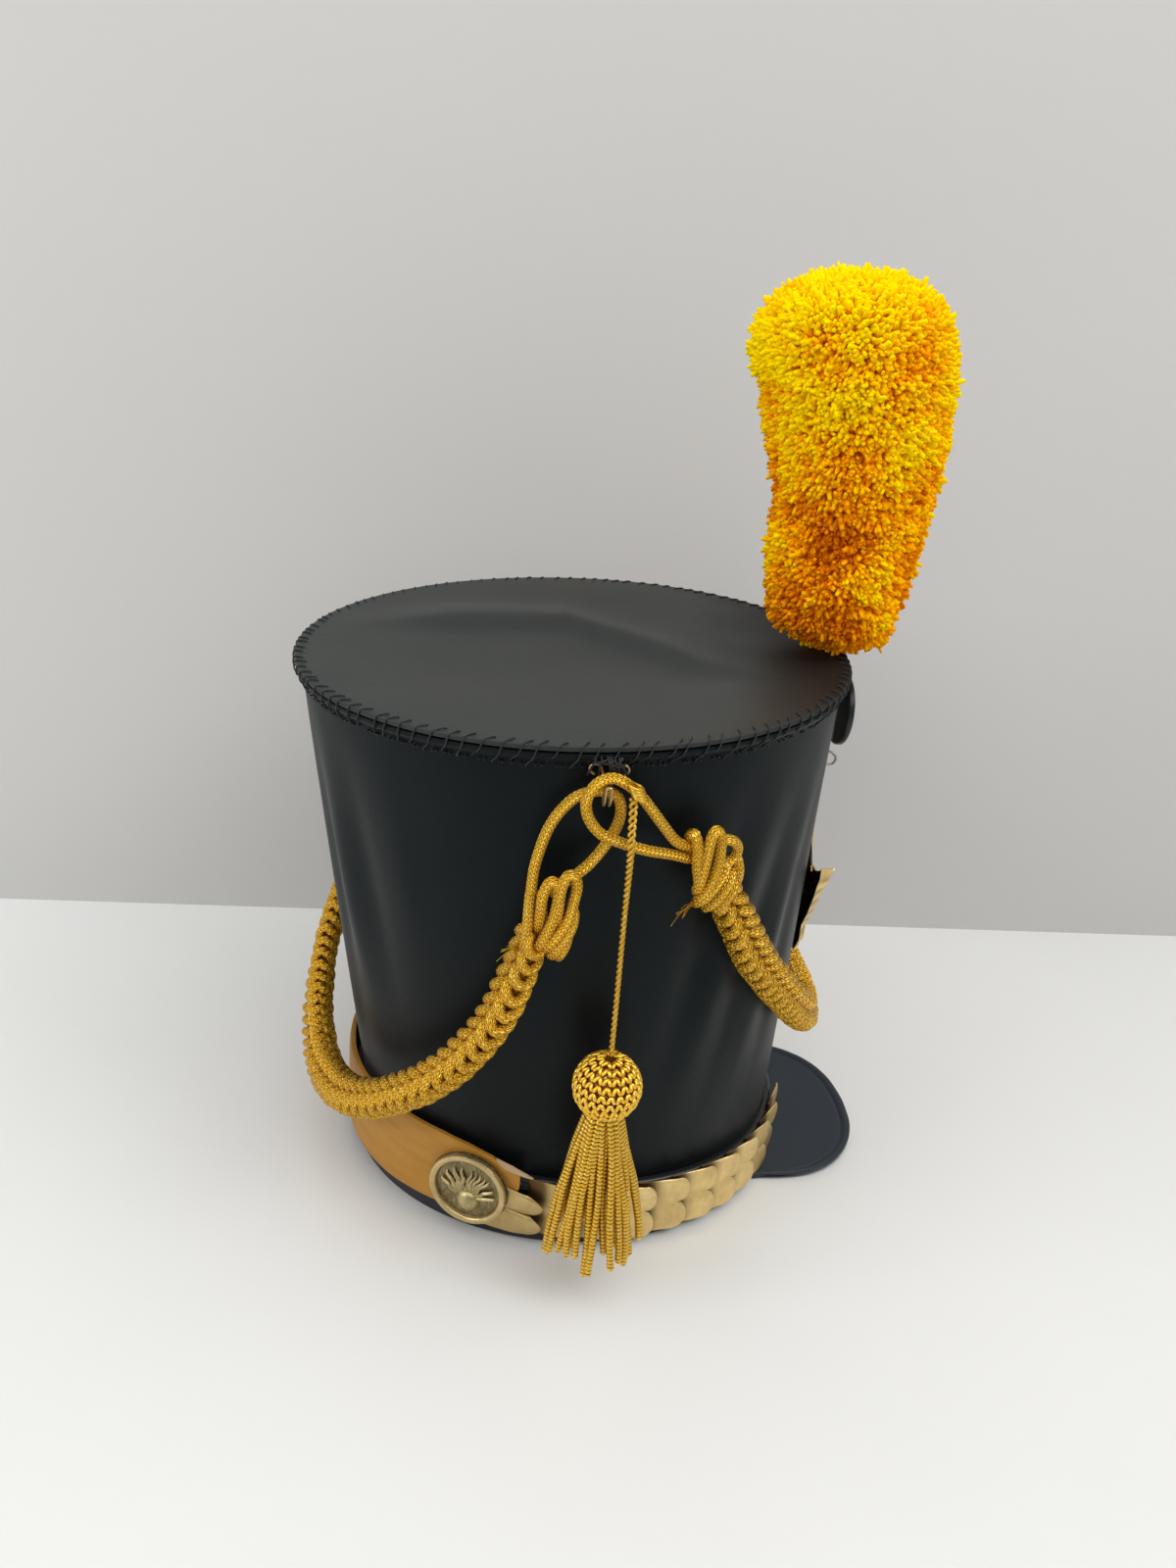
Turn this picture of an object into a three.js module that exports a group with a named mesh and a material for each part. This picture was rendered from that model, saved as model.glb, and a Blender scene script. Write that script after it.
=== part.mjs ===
// A tall leather shako: flared body, stitched crown, peak, brass chin scales, plume,
// plaited festoons and one tassel. Millimetres, +Z up, the wearer's front is -Y and
// the wearer's right is -X. The base rim stands on z = 0.
import * as THREE from 'three';

// ---- driving dimensions ------------------------------------------------------------

const LEATHER = 2.5;                 // body wall
const GAP = 0.3;                     // clearance kept between touching pieces
const BASE = { x: 87.1, y: 99.8 };   // outer half widths of the oval base
const CROWN_RADIUS = 116;            // outer edge of the round top
const CROWN_Y = 15.4;                // the top's centre lies behind the base's centre
const CROWN_Z = 246.3;               // height of the top at its centre
const CROWN_SLOPE = 0.058;           // the top rises toward the front
const CROWN_SAG = 5;                 // the top sheet sinks in the middle
const LIP = 2.6;                     // body edge turned out under the top sheet
const FLARE_Z = 39;                  // the wall is upright below, and flares above
const BAND = 2;                      // leather band round the base
const BAND_BOTTOM = 0.8;             // the body's own edge shows below it
const BAND_TOP = 34.3;
const BAND_SLOPE = 0.035;            // the band grows taller toward the back
const AROUND = 48;                   // facets round the hat

const SCALE_COUNT = 11;              // plates on each side, the boss plate included
const SCALE_FIRST = 98;              // front edge of the boss plate, degrees from the front
const SCALE_PITCH = 9;
const SCALE_HEIGHT = 28.5;
const SCALE_THICK = 0.8;
const BOSS_ANGLE = 115.9;
const BOSS_RADIUS = 18;
const BOSS_Z = 27.5;

const CORD = 4;                      // gold cord of the loops
const BRAID = 12;                    // plain core of each plaited festoon
const TASSEL_CORD = 2.4;
const TASSEL_X = -117;
const TASSEL_Y = -2;

const PLUME_BOTTOM = 254.5;
const PLUME_TOP = 409;

// ---- materials ---------------------------------------------------------------------

const finish = (color, roughness, metalness = 0) =>
  new THREE.MeshStandardMaterial({ color, roughness, metalness });
const blackLeather = finish(0x232629, 0.5);
const crownLeather = finish(0x3a3d3a, 0.45);
const peakLeather = finish(0x23262e, 0.5);
const tanLeather = finish(0x93652c, 0.55);
const brass = finish(0xb59a5e, 0.42, 1);
const antiqueBrass = finish(0x9b8a55, 0.45, 1);
const steel = finish(0x9a9a98, 0.4, 1);
const goldCord = finish(0xc9992b, 0.5, 0.4);
const plumeWool = finish(0xf2b000, 0.95);

// ---- geometry helpers --------------------------------------------------------------

const hat = new THREE.Group();
const radians = THREE.MathUtils.degToRad;
const mix = THREE.MathUtils.lerp;

// The volume that the triangles enclose, negative when they face inwards.
function signedVolume(geometry) {
  const place = geometry.getAttribute('position');
  const index = geometry.getIndex();
  const count = index ? index.count : place.count;
  const corner = [new THREE.Vector3(), new THREE.Vector3(), new THREE.Vector3()];
  let volume = 0;
  for (let i = 0; i < count; i += 3) {
    corner.forEach((v, k) => v.fromBufferAttribute(place, index ? index.getX(i + k) : i + k));
    volume += corner[0].dot(corner[1].clone().cross(corner[2])) / 6;
  }
  return volume;
}

function facingOut(geometry) {
  if (signedVolume(geometry) >= 0) return geometry;
  const flat = geometry.getIndex() ? geometry.toNonIndexed() : geometry;
  const place = flat.getAttribute('position').array;
  for (let i = 0; i < place.length; i += 9) {
    for (let k = 0; k < 3; k += 1) {
      [place[i + k], place[i + 3 + k]] = [place[i + 3 + k], place[i + k]];
    }
  }
  flat.computeVertexNormals();
  return flat;
}

function add(name, geometry, material) {
  const mesh = new THREE.Mesh(facingOut(geometry), material);
  mesh.name = name;
  hat.add(mesh);
  return mesh;
}

// A wall between two skins. point(u, v, side) gives a point of the inner (side 0) or the
// outer (side 1) skin, with u along the wall and v across it, each from 0 to 1.
function wall(along, across, closed, point) {
  const columns = closed ? along : along + 1;
  const rows = across + 1;
  const place = [];
  const faces = [];
  for (let side = 0; side < 2; side += 1) {
    for (let i = 0; i < columns; i += 1) {
      for (let j = 0; j < rows; j += 1) place.push(...point(i / along, j / across, side));
    }
  }
  const at = (i, j, side) => side * columns * rows + (i % columns) * rows + j;
  const quad = (a, b, c, d) => faces.push(a, b, c, a, c, d);
  for (let i = 0; i < along; i += 1) {
    for (let j = 0; j < across; j += 1) {
      quad(at(i, j, 1), at(i + 1, j, 1), at(i + 1, j + 1, 1), at(i, j + 1, 1));
      quad(at(i, j, 0), at(i, j + 1, 0), at(i + 1, j + 1, 0), at(i + 1, j, 0));
    }
    quad(at(i, 0, 0), at(i + 1, 0, 0), at(i + 1, 0, 1), at(i, 0, 1));
    quad(at(i, across, 1), at(i + 1, across, 1), at(i + 1, across, 0), at(i, across, 0));
  }
  if (!closed) {
    for (let j = 0; j < across; j += 1) {
      quad(at(0, j, 0), at(0, j, 1), at(0, j + 1, 1), at(0, j + 1, 0));
      quad(at(along, j, 1), at(along, j, 0), at(along, j + 1, 0), at(along, j + 1, 1));
    }
  }
  const geometry = new THREE.BufferGeometry();
  geometry.setAttribute('position', new THREE.Float32BufferAttribute(place, 3));
  geometry.setIndex(faces);
  geometry.computeVertexNormals();
  return geometry;
}

// A value from a table whose rows are [where, value], with straight lines between rows.
function fromTable(table, where) {
  const next = table.findIndex((row) => row[0] >= where);
  if (next < 0) return table[table.length - 1][1];
  if (next === 0) return table[0][1];
  const [a, b] = [table[next - 1], table[next]];
  return mix(a[1], b[1], (where - a[0]) / (b[0] - a[0]));
}

// A point on an upright oval. The angle runs from the front toward the wearer's right.
function onOval(degrees, halfX, halfY, z, centreY = 0) {
  const a = radians(degrees);
  return [-halfX * Math.sin(a), centreY - halfY * Math.cos(a), z];
}

function roundSection(radius, sides) {
  const shape = new THREE.Shape();
  for (let i = 0; i < sides; i += 1) {
    const a = (2 * Math.PI * i) / sides;
    const step = i === 0 ? 'moveTo' : 'lineTo';
    shape[step](radius * Math.cos(a), radius * Math.sin(a));
  }
  shape.closePath();
  return shape;
}

function tube(points, diameter, sides, steps) {
  const corners = points.map((p) => new THREE.Vector3(...p));
  const extrudePath = new THREE.CatmullRomCurve3(corners, false, 'centripetal');
  const section = roundSection(diameter / 2, sides);
  return new THREE.ExtrudeGeometry(section, { steps, extrudePath, bevelEnabled: false });
}

const lathe = (profile, segments) =>
  new THREE.LatheGeometry(profile.map(([r, z]) => new THREE.Vector2(r, z)), segments).rotateX(Math.PI / 2);

const mirrored = (points) => points.map(([x, y, z]) => [-x, y, z]);

// ---- body --------------------------------------------------------------------------

const LIP_INSET = 0.4;               // the lip's edge stands this far inside the top's edge
const LIP_DROP = 1.3;                // and this far below the top's middle plane
const BULGE = { x: 0.5, y: 1, centre: 0.8 }; // how far the flare bows out half way up

const crownPlane = (y) => CROWN_Z - CROWN_SLOPE * (y - CROWN_Y);

// Soft folds pressed into the leather: [degrees, lean, width, depth, height of middle].
const FOLDS = [
  [158, 6, 5, 1.6, 0.55],
  [170, 5, 4, 1.2, 0.6],
  [52, -14, 5, 1.0, 0.62],
  [64, -16, 4, 0.8, 0.7],
  [38, -10, 4, 0.8, 0.55],
  [205, -6, 6, 1.4, 0.5],
  [300, 12, 6, 1.0, 0.6],
];

function foldDepth(degrees, t) {
  let depth = 0;
  for (const [angle, lean, width, deep, middle] of FOLDS) {
    const across = (degrees - angle - lean * (t - 0.5)) / width;
    depth += deep * Math.exp(-across * across) * Math.exp(-(((t - middle) / 0.28) ** 2));
  }
  return depth * Math.sin(Math.PI * t);
}

// Body outline at a fraction t of the way from the flare to the top edge.
function bodyPoint(degrees, t, inset) {
  const bow = 4 * t * (1 - t);
  const topRadius = CROWN_RADIUS - LIP - LIP_INSET;
  const halfX = mix(BASE.x, topRadius, t) + BULGE.x * bow - inset - foldDepth(degrees, t);
  const halfY = mix(BASE.y, topRadius, t) + BULGE.y * bow - inset - foldDepth(degrees, t);
  const centreY = CROWN_Y * t + BULGE.centre * bow;
  const [x, y] = onOval(degrees, halfX, halfY, 0, centreY);
  const topZ = crownPlane(CROWN_Y - topRadius * Math.cos(radians(degrees))) - LIP_DROP;
  return [x, y, mix(FLARE_Z, topZ, t)];
}

// Rows of the wall from the rim up: [millimetres below the flare, or part of the way above
// it, lip].
const SHELL_ROWS = [
  [-FLARE_Z, 0], [0, 0], [0.1, 0], [0.24, 0], [0.38, 0], [0.52, 0], [0.66, 0],
  [0.8, 0], [0.92, 0], [0.9797, 0], [0.9894, LIP], [1, LIP],
];

function shellPoint(u, v, side) {
  const degrees = 360 * u;
  const [level, lip] = SHELL_ROWS[Math.round(v * (SHELL_ROWS.length - 1))];
  const inset = side === 0 ? LEATHER : -lip;
  if (level <= 0) return onOval(degrees, BASE.x - inset, BASE.y - inset, FLARE_Z + level);
  return bodyPoint(degrees, level, inset);
}

add('shell', wall(AROUND, SHELL_ROWS.length - 1, true, shellPoint), blackLeather);

// The top sheet: a disc that sags, dips beside a soft crease, and overhangs the body's lip.
const CREASE = { x: 18, lean: 0.25, width: 16, height: 2.2 };
const CROWN_HALF = 1;                // half the top sheet's thickness

function crownHeight(x, y) {
  const r = Math.min(1, Math.hypot(x, y) / CROWN_RADIUS);
  const sag = CROWN_SAG * (1 - r * r) ** 1.5;
  const across = (x - CREASE.x + CREASE.lean * y) / CREASE.width;
  return CREASE.height * Math.exp(-across * across) * (1 - r * r) - sag;
}

const CROWN_RINGS = [0, 0.3, 0.55, 0.78, 0.95, 1];

function crownGeometry() {
  const rings = CROWN_RINGS.length - 1;
  const place = [];
  const faces = [];
  const put = (x, y, side) => {
    const z = crownPlane(CROWN_Y + y) + crownHeight(x, y) + (side ? CROWN_HALF : -CROWN_HALF);
    place.push(x, CROWN_Y + y, z);
  };
  for (let side = 0; side < 2; side += 1) {
    put(0, 0, side);
    for (let ring = 1; ring <= rings; ring += 1) {
      for (let i = 0; i < AROUND; i += 1) {
        const radius = CROWN_RADIUS * CROWN_RINGS[ring];
        const [x, y] = onOval((360 * i) / AROUND, radius, radius, 0);
        put(x, y, side);
      }
    }
  }
  const skin = 1 + rings * AROUND;
  const at = (ring, i, side) => side * skin + (ring === 0 ? 0 : 1 + (ring - 1) * AROUND + (i % AROUND));
  for (let i = 0; i < AROUND; i += 1) {
    faces.push(at(0, 0, 1), at(1, i + 1, 1), at(1, i, 1));
    faces.push(at(0, 0, 0), at(1, i, 0), at(1, i + 1, 0));
    for (let ring = 1; ring < rings; ring += 1) {
      faces.push(at(ring, i, 1), at(ring, i + 1, 1), at(ring + 1, i + 1, 1));
      faces.push(at(ring, i, 1), at(ring + 1, i + 1, 1), at(ring + 1, i, 1));
      faces.push(at(ring, i, 0), at(ring + 1, i + 1, 0), at(ring, i + 1, 0));
      faces.push(at(ring, i, 0), at(ring + 1, i, 0), at(ring + 1, i + 1, 0));
    }
    faces.push(at(rings, i, 1), at(rings, i + 1, 1), at(rings, i + 1, 0));
    faces.push(at(rings, i, 1), at(rings, i + 1, 0), at(rings, i, 0));
  }
  const geometry = new THREE.BufferGeometry();
  geometry.setAttribute('position', new THREE.Float32BufferAttribute(place, 3));
  geometry.setIndex(faces);
  geometry.computeVertexNormals();
  return geometry;
}

add('crown_top', crownGeometry(), crownLeather);

// Band round the base with two raised ridges near its top edge: [distance below top, rise].
const BAND_ROWS = [[null, 0], [5.5, 0], [4, 0.7], [2.4, 0.1], [1.2, 0.7], [0, 0]];

function bandPoint(u, v, side) {
  const degrees = 360 * u;
  const [below, rise] = BAND_ROWS[Math.round(v * (BAND_ROWS.length - 1))];
  const out = side === 0 ? GAP : GAP + BAND + rise;
  const y = -BASE.y * Math.cos(radians(degrees));
  const top = BAND_TOP + BAND_SLOPE * y;
  return onOval(degrees, BASE.x + out, BASE.y + out, below === null ? BAND_BOTTOM : top - below);
}

add('base_band', wall(AROUND, BAND_ROWS.length - 1, true, bandPoint), blackLeather);

// ---- peak --------------------------------------------------------------------------

const PEAK_SPREAD = 34;              // half angle that the peak takes up on the band
const PEAK_SKEW = -3;                // hand sewn a little off the centre line
const PEAK_THICK = 2.9;
const PEAK_Z = 0.6;                  // its underside clears the table
const PEAK_LIFT = 3.2;               // the middle of its front edge is raised
const PEAK_OUTLINE = [               // [degrees from its middle, distance from the axis]
  [0, 150], [8, 149.3], [13, 147], [17, 143.5], [21, 138.5], [25, 131], [28.5, 121.5],
  [31.5, 110], [34, 101],
];

function peakPoint(u, v, side) {
  const turn = mix(-PEAK_SPREAD, PEAK_SPREAD, u);
  const degrees = turn + PEAK_SKEW;
  const inner = onOval(degrees, BASE.x + BAND + 2 * GAP, BASE.y + BAND + 2 * GAP, 0);
  const heading = Math.atan2(-inner[0], -inner[1]);
  const outerRadius = fromTable(PEAK_OUTLINE, Math.abs(turn));
  const near = Math.hypot(inner[0], inner[1]);
  const radius = mix(near, outerRadius, v);
  const lift = PEAK_LIFT * v * v * (1 - (turn / PEAK_SPREAD) ** 2);
  const z = PEAK_Z + lift + (side === 1 ? PEAK_THICK : 0);
  return [-radius * Math.sin(heading), -radius * Math.cos(heading), z];
}

add('peak', wall(26, 4, false, peakPoint), peakLeather);

// ---- back strap --------------------------------------------------------------------

const STRAP = { x: 91, y: 103.8, thick: 2.5, start: 104 };
// Its lower and upper edges: [degrees from the front, height].
const STRAP_LOW = [[104, 31], [108, 13], [116, 11.3], [125, 11], [140, 9.5], [160, 8.5], [180, 8]];
const STRAP_HIGH = [[104, 43], [108, 46], [116, 48], [125, 49], [140, 49], [180, 48]];

function strapPoint(u, v, side) {
  const degrees = mix(STRAP.start, 360 - STRAP.start, u);
  const fromFront = degrees > 180 ? 360 - degrees : degrees;
  const z = mix(fromTable(STRAP_LOW, fromFront), fromTable(STRAP_HIGH, fromFront), v);
  const out = side * STRAP.thick;
  return onOval(degrees, STRAP.x + out, STRAP.y + out, z);
}

add('back_strap', wall(38, 1, false, strapPoint), tanLeather);

// ---- chin scales and bosses --------------------------------------------------------

const SCALE_REACH = 13;              // degrees covered by one plate, its hidden tail included
const SCALE_RISE = 1.9;              // each plate's front edge stands over the next one
const SCALE_LOBE = 2.6;              // degrees by which the two lobes run forward
const SCALE_STAND = 1.2;             // a plate stands this far off the band
const SCALE_BASE = {
  x: BASE.x + GAP + BAND + SCALE_STAND,
  y: BASE.y + GAP + BAND + SCALE_STAND,
};
// Lower edge of the row of plates: [degrees from the front, height].
const SCALE_LOW = [[0, 4.6], [75, 4.6], [98, 6.5], [120, 10]];

// Two round lobes side by side across the plate.
function lobe(v) {
  const half = 4 * (v < 0.5 ? v : v - 0.5) - 1;
  return Math.sqrt(Math.max(0, 1 - half * half));
}

function scalePoint(front, reach, base, rise, height) {
  return (u, v, side) => {
    const edge = front + SCALE_LOBE * (1 - lobe(v));
    const degrees = mix(front + reach, edge, u);
    const out = rise * u + side * SCALE_THICK;
    const z = fromTable(SCALE_LOW, Math.max(0, degrees)) + height * v;
    return onOval(degrees, base.x + out, base.y + out, z);
  };
}

const BOSS_PLATE_REACH = 22;
const BOSS_PLATE_EXTRA = 1.5;        // the boss plate is a little taller than the rest
const BOSS_PLATE_BASE = { x: STRAP.x + STRAP.thick + GAP, y: STRAP.y + STRAP.thick + GAP };

function mirrorX(geometry) {
  const place = geometry.getAttribute('position');
  for (let i = 0; i < place.count; i += 1) place.setX(i, -place.getX(i));
  return geometry;
}

function chinScale(side, number) {
  const front = SCALE_FIRST - SCALE_PITCH * (number - 1);
  const first = number === 1;
  const bossPlateHeight = SCALE_HEIGHT + BOSS_PLATE_EXTRA;
  const geometry = first
    ? wall(3, 8, false, scalePoint(front, BOSS_PLATE_REACH, BOSS_PLATE_BASE, 0, bossPlateHeight))
    : wall(2, 8, false, scalePoint(front, SCALE_REACH, SCALE_BASE, SCALE_RISE, SCALE_HEIGHT));
  const label = String(number).padStart(2, '0');
  const turned = side === 'left' ? mirrorX(geometry) : geometry;
  add(`chin_scale_${side}_${label}`, turned, brass);
}

for (const side of ['right', 'left']) {
  for (let number = 1; number <= SCALE_COUNT; number += 1) chinScale(side, number);
}

const BOSS_STAND = 0.5;

// A round boss with a raised rim and a low dome: [radius, height] pairs.
const BOSS_PROFILE = [
  [0, 0], [BOSS_RADIUS, 0], [BOSS_RADIUS, 2], [BOSS_RADIUS - 0.8, 3.2],
  [BOSS_RADIUS - 2.4, 3.2], [BOSS_RADIUS - 3.2, 2.1], [7, 2.8], [0, 3.4],
];

function boss(side) {
  const mesh = add(`boss_${side}`, lathe(BOSS_PROFILE, 24), antiqueBrass);
  const seat = {
    x: BOSS_PLATE_BASE.x + SCALE_THICK + BOSS_STAND,
    y: BOSS_PLATE_BASE.y + SCALE_THICK + BOSS_STAND,
  };
  const [x, y] = onOval(BOSS_ANGLE, seat.x, seat.y, 0);
  const outward = new THREE.Vector3(x / seat.x ** 2, y / seat.y ** 2, 0).normalize();
  const sign = side === 'right' ? 1 : -1;
  outward.x *= sign;
  mesh.position.set(x * sign, y, BOSS_Z);
  mesh.quaternion.setFromUnitVectors(new THREE.Vector3(0, 0, 1), outward);
}

boss('right');
boss('left');

// ---- front plate, cockade and plume ------------------------------------------------

const PLATE_FRONT = -105.2;
const PLATE_DEPTH = 3.2;
const PLATE_HALF = [                 // right half of the outline from top to bottom: [x, z]
  [0, 166], [-7, 158], [-14, 151], [-24, 157], [-34, 163], [-34.5, 158], [-30, 147],
  [-23, 134], [-16, 124], [-15, 115], [-9, 107], [0, 103],
];

function plateShape() {
  const shape = new THREE.Shape();
  const left = PLATE_HALF.slice(1, -1).reverse();
  const outline = [...PLATE_HALF, ...left.map(([x, z]) => [-x, z])];
  outline.forEach(([x, z], i) => shape[i === 0 ? 'moveTo' : 'lineTo'](x, z));
  shape.closePath();
  return shape;
}

const plate = new THREE.ExtrudeGeometry(plateShape(), { depth: PLATE_DEPTH, bevelEnabled: false });
add('front_plate', plate.rotateX(Math.PI / 2).translate(0, PLATE_FRONT + PLATE_DEPTH, 0), brass);

const COCKADE = { radius: 16, z: 226, back: -104.4, thick: 2.8 };
const COCKADE_PROFILE = [
  [0, 0], [COCKADE.radius, 0], [COCKADE.radius, COCKADE.thick], [COCKADE.radius - 2, COCKADE.thick],
  [COCKADE.radius - 3, COCKADE.thick - 0.8], [0, COCKADE.thick - 0.8],
];
const cockade = add('cockade', lathe(COCKADE_PROFILE, 24), blackLeather);
cockade.rotation.x = Math.PI / 2;
cockade.position.set(0, COCKADE.back, COCKADE.z);

// A small wire loop below the cockade.
const LOOP_WIRE = [
  [-9, -99.4, 209], [-9.5, -102.6, 208.6], [-10, -104.6, 206.4], [-9.5, -103.6, 203.2],
  [-9, -99.6, 203],
];
const LOOP_DIAMETER = 1.2;
add('cockade_loop', tube(LOOP_WIRE, LOOP_DIAMETER, 6, 12), steel);

// Stem of the plume, standing between the wall and the cockade and up past the top edge.
const PLUME_Y = -102.6;
const STEM = { bottom: 203, top: PLUME_BOTTOM - GAP, radius: 1.4, sides: 10 };
const stem = new THREE.CylinderGeometry(STEM.radius, STEM.radius, STEM.top - STEM.bottom, STEM.sides);
stem.rotateX(Math.PI / 2).translate(0, PLUME_Y, (STEM.top + STEM.bottom) / 2);
add('plume_stem', stem, steel);

// The plume's outer form: [height, radius, how far its middle leans back].
const PLUME_ROWS = [
  [PLUME_BOTTOM, 0, 1], [256, 11, 1.5], [260, 22, 4], [266, 28, 7], [280, 31, 8], [300, 33.5, 9],
  [322, 36, 10], [345, 40, 12.5], [366, 43.5, 16], [382, 43.5, 18.5], [395, 38, 19], [403, 27, 19],
  [407.5, 13, 19], [PLUME_TOP, 0, 19],
];
const PLUME_SIDES = 20;

function plumeGeometry() {
  const place = [];
  const faces = [];
  const last = PLUME_ROWS.length - 1;
  PLUME_ROWS.forEach(([z, radius, back], row) => {
    const count = radius === 0 ? 1 : PLUME_SIDES;
    for (let i = 0; i < count; i += 1) {
      place.push(...onOval((360 * i) / PLUME_SIDES, radius, radius, z, PLUME_Y + back));
    }
  });
  const at = (row, i) => {
    if (row === 0) return 0;
    return 1 + (row - 1) * PLUME_SIDES + (row === last ? 0 : i % PLUME_SIDES);
  };
  for (let i = 0; i < PLUME_SIDES; i += 1) {
    faces.push(at(0, 0), at(1, i), at(1, i + 1));
    for (let row = 1; row < last - 1; row += 1) {
      faces.push(at(row, i), at(row + 1, i), at(row + 1, i + 1));
      faces.push(at(row, i), at(row + 1, i + 1), at(row, i + 1));
    }
    faces.push(at(last - 1, i), at(last, 0), at(last - 1, i + 1));
  }
  const geometry = new THREE.BufferGeometry();
  geometry.setAttribute('position', new THREE.Float32BufferAttribute(place, 3));
  geometry.setIndex(faces);
  geometry.computeVertexNormals();
  return geometry;
}

add('plume', plumeGeometry(), plumeWool);

// ---- side hooks --------------------------------------------------------------------

const HOOK_Y = 10.5;
const HOOK_Z = 238.4;
const HOOK_X = 114.6;
const HOOK_LEAN = 0.14;              // it follows the leaning wall
const WIRE = 1;

// One wire bent from an eye down the shank, out and up to the tip, across, and back.
// Local columns: [along the wall, out from it, up].
const HOOK_HALF = [
  [4.6, 0, -1.9], [6.4, 0, -0.6], [6.6, 0, 1.2], [5.2, 0, 2.3], [3.4, 0, 1.9], [2.6, 0, 0.2],
  [1.7, 0, -2.6], [1.2, 0, -7], [1, 0.6, -10.4], [1, 3, -12.4], [1, 5.4, -10.6], [1, 6, -7],
  [0.8, 5.9, -4.6],
];

function hookGeometry(side) {
  const other = HOOK_HALF.map(([a, out, up]) => [-a, out, up]).reverse();
  const sign = side === 'right' ? -1 : 1;
  const place = ([a, out, up]) => [sign * (HOOK_X + out + HOOK_LEAN * up), HOOK_Y + a, HOOK_Z + up];
  return tube([...HOOK_HALF, ...other].map(place), WIRE, 6, 34);
}

add('hook_right', hookGeometry('right'), brass);
add('hook_left', hookGeometry('left'), brass);

// ---- festoons ----------------------------------------------------------------------

// Middle lines of the wearer's right half of each piece; the left half mirrors them.
const FRONT_LOOP = [
  [-111.5, -23, 209.5], [-115, -16, 213], [-117.5, -8.5, 222], [-118.3, -1, 231], [-118.2, 4.5, 235.4],
  [-118, 9.8, 237.1], [-119.6, 15, 235.3], [-121.2, 18, 230], [-121.4, 16.8, 223.5], [-121, 12, 217.5],
  [-120.2, 4.5, 214], [-118.6, -5, 210.8], [-115, -15, 207.8], [-112, -22, 205],
];
const BACK_LOOP = [
  [-117.3, 33.8, 191.2], [-117, 33, 203], [-116.8, 29.2, 217.6], [-116.4, 22.6, 227.4], [-116.5, 16.4, 230.9],
  [-116.6, 10.6, 231.6], [-115.9, 6.6, 229], [-115, 5, 223.6], [-114.8, 5.8, 217.4], [-115, 9.4, 209.6],
  [-115.8, 14.6, 202.2], [-116.6, 21, 196.4], [-117.3, 27.5, 191.4],
];
const FRONT_BRAID = [
  [-105.5, -37.5, 190], [-101, -46, 175], [-95, -56, 157], [-86, -68.5, 139], [-74.5, -81, 122.5],
  [-60, -92, 107], [-42, -101.2, 95], [-21, -107.4, 87.5], [0, -109.4, 85],
];
const BACK_BRAID = [
  [-115.5, 31.5, 173], [-112.5, 35.5, 155], [-110, 41.5, 135], [-106, 51, 115], [-99.5, 64.5, 95.5],
  [-90, 79, 80], [-78, 91.5, 67.5], [-62.5, 102.5, 58], [-45.5, 111, 53.5], [-28, 117.2, 53.2],
  [-11, 120.8, 58], [3, 121.8, 66], [16, 121.2, 76.5], [31, 118.4, 89], [50, 112, 104],
  [71, 101.4, 121], [88.5, 87, 136], [101, 69, 146], [108.5, 52, 153], [112.5, 40, 160],
  [115.5, 31.5, 173],
];
const FRONT_KNOT = { place: [-109.5, -31, 199], size: [7, 9.5, 11] };
const BACK_KNOT = { place: [-117.2, 30, 181.5], size: [6.6, 9, 7.5] };

const bothHalves = (half) => [...half, ...mirrored(half.slice(0, -1)).reverse()];

add('festoon_front_braid', tube(bothHalves(FRONT_BRAID), BRAID, 10, 26), goldCord);
add('festoon_back_braid', tube(BACK_BRAID, BRAID, 10, 34), goldCord);

function knot(name, { place, size }, sign) {
  const ball = new THREE.SphereGeometry(1, 10, 7).scale(...size);
  add(name, ball.translate(sign * place[0], place[1], place[2]), goldCord);
}

for (const [side, sign] of [['right', 1], ['left', -1]]) {
  const onSide = (points) => (sign === 1 ? points : mirrored(points));
  add(`festoon_front_loop_${side}`, tube(onSide(FRONT_LOOP), CORD, 8, 20), goldCord);
  add(`festoon_back_loop_${side}`, tube(onSide(BACK_LOOP), CORD, 8, 20), goldCord);
  knot(`festoon_front_knot_${side}`, FRONT_KNOT, sign);
  knot(`festoon_back_knot_${side}`, BACK_KNOT, sign);
}

// ---- tassel ------------------------------------------------------------------------

const BALL_Z = 108;
const BALL_RADIUS = 13.6;
const SKIRT_TOP = BALL_Z - BALL_RADIUS + 1.6;
const SKIRT_BOTTOM = 13;
const TASSEL_DROP = [
  [-122.6, 2.2, 232], [-123.4, 2, 226], [-124, 1.6, 218], [-123.8, 1.2, 211], [-121.8, 0.6, 200],
  [-119.6, 0, 186], [-118, -0.6, 172], [-117.3, -1.2, 154], [TASSEL_X, -1.7, 136],
  [TASSEL_X, TASSEL_Y, BALL_Z + BALL_RADIUS + GAP],
];
add('tassel_cord', tube(TASSEL_DROP, TASSEL_CORD, 8, 18), goldCord);

const ball = new THREE.SphereGeometry(BALL_RADIUS, 14, 10).rotateX(Math.PI / 2);
add('tassel_ball', ball.translate(TASSEL_X, TASSEL_Y, BALL_Z), goldCord);

// The skirt's outer form, wider along the wall than across it: [height, half width].
const SKIRT_ROWS = [[SKIRT_BOTTOM, 19], [24, 20], [45, 18], [66, 15], [82, 11.5], [SKIRT_TOP - 5, 9]];
const SKIRT_FLATTEN = 0.72;

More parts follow.
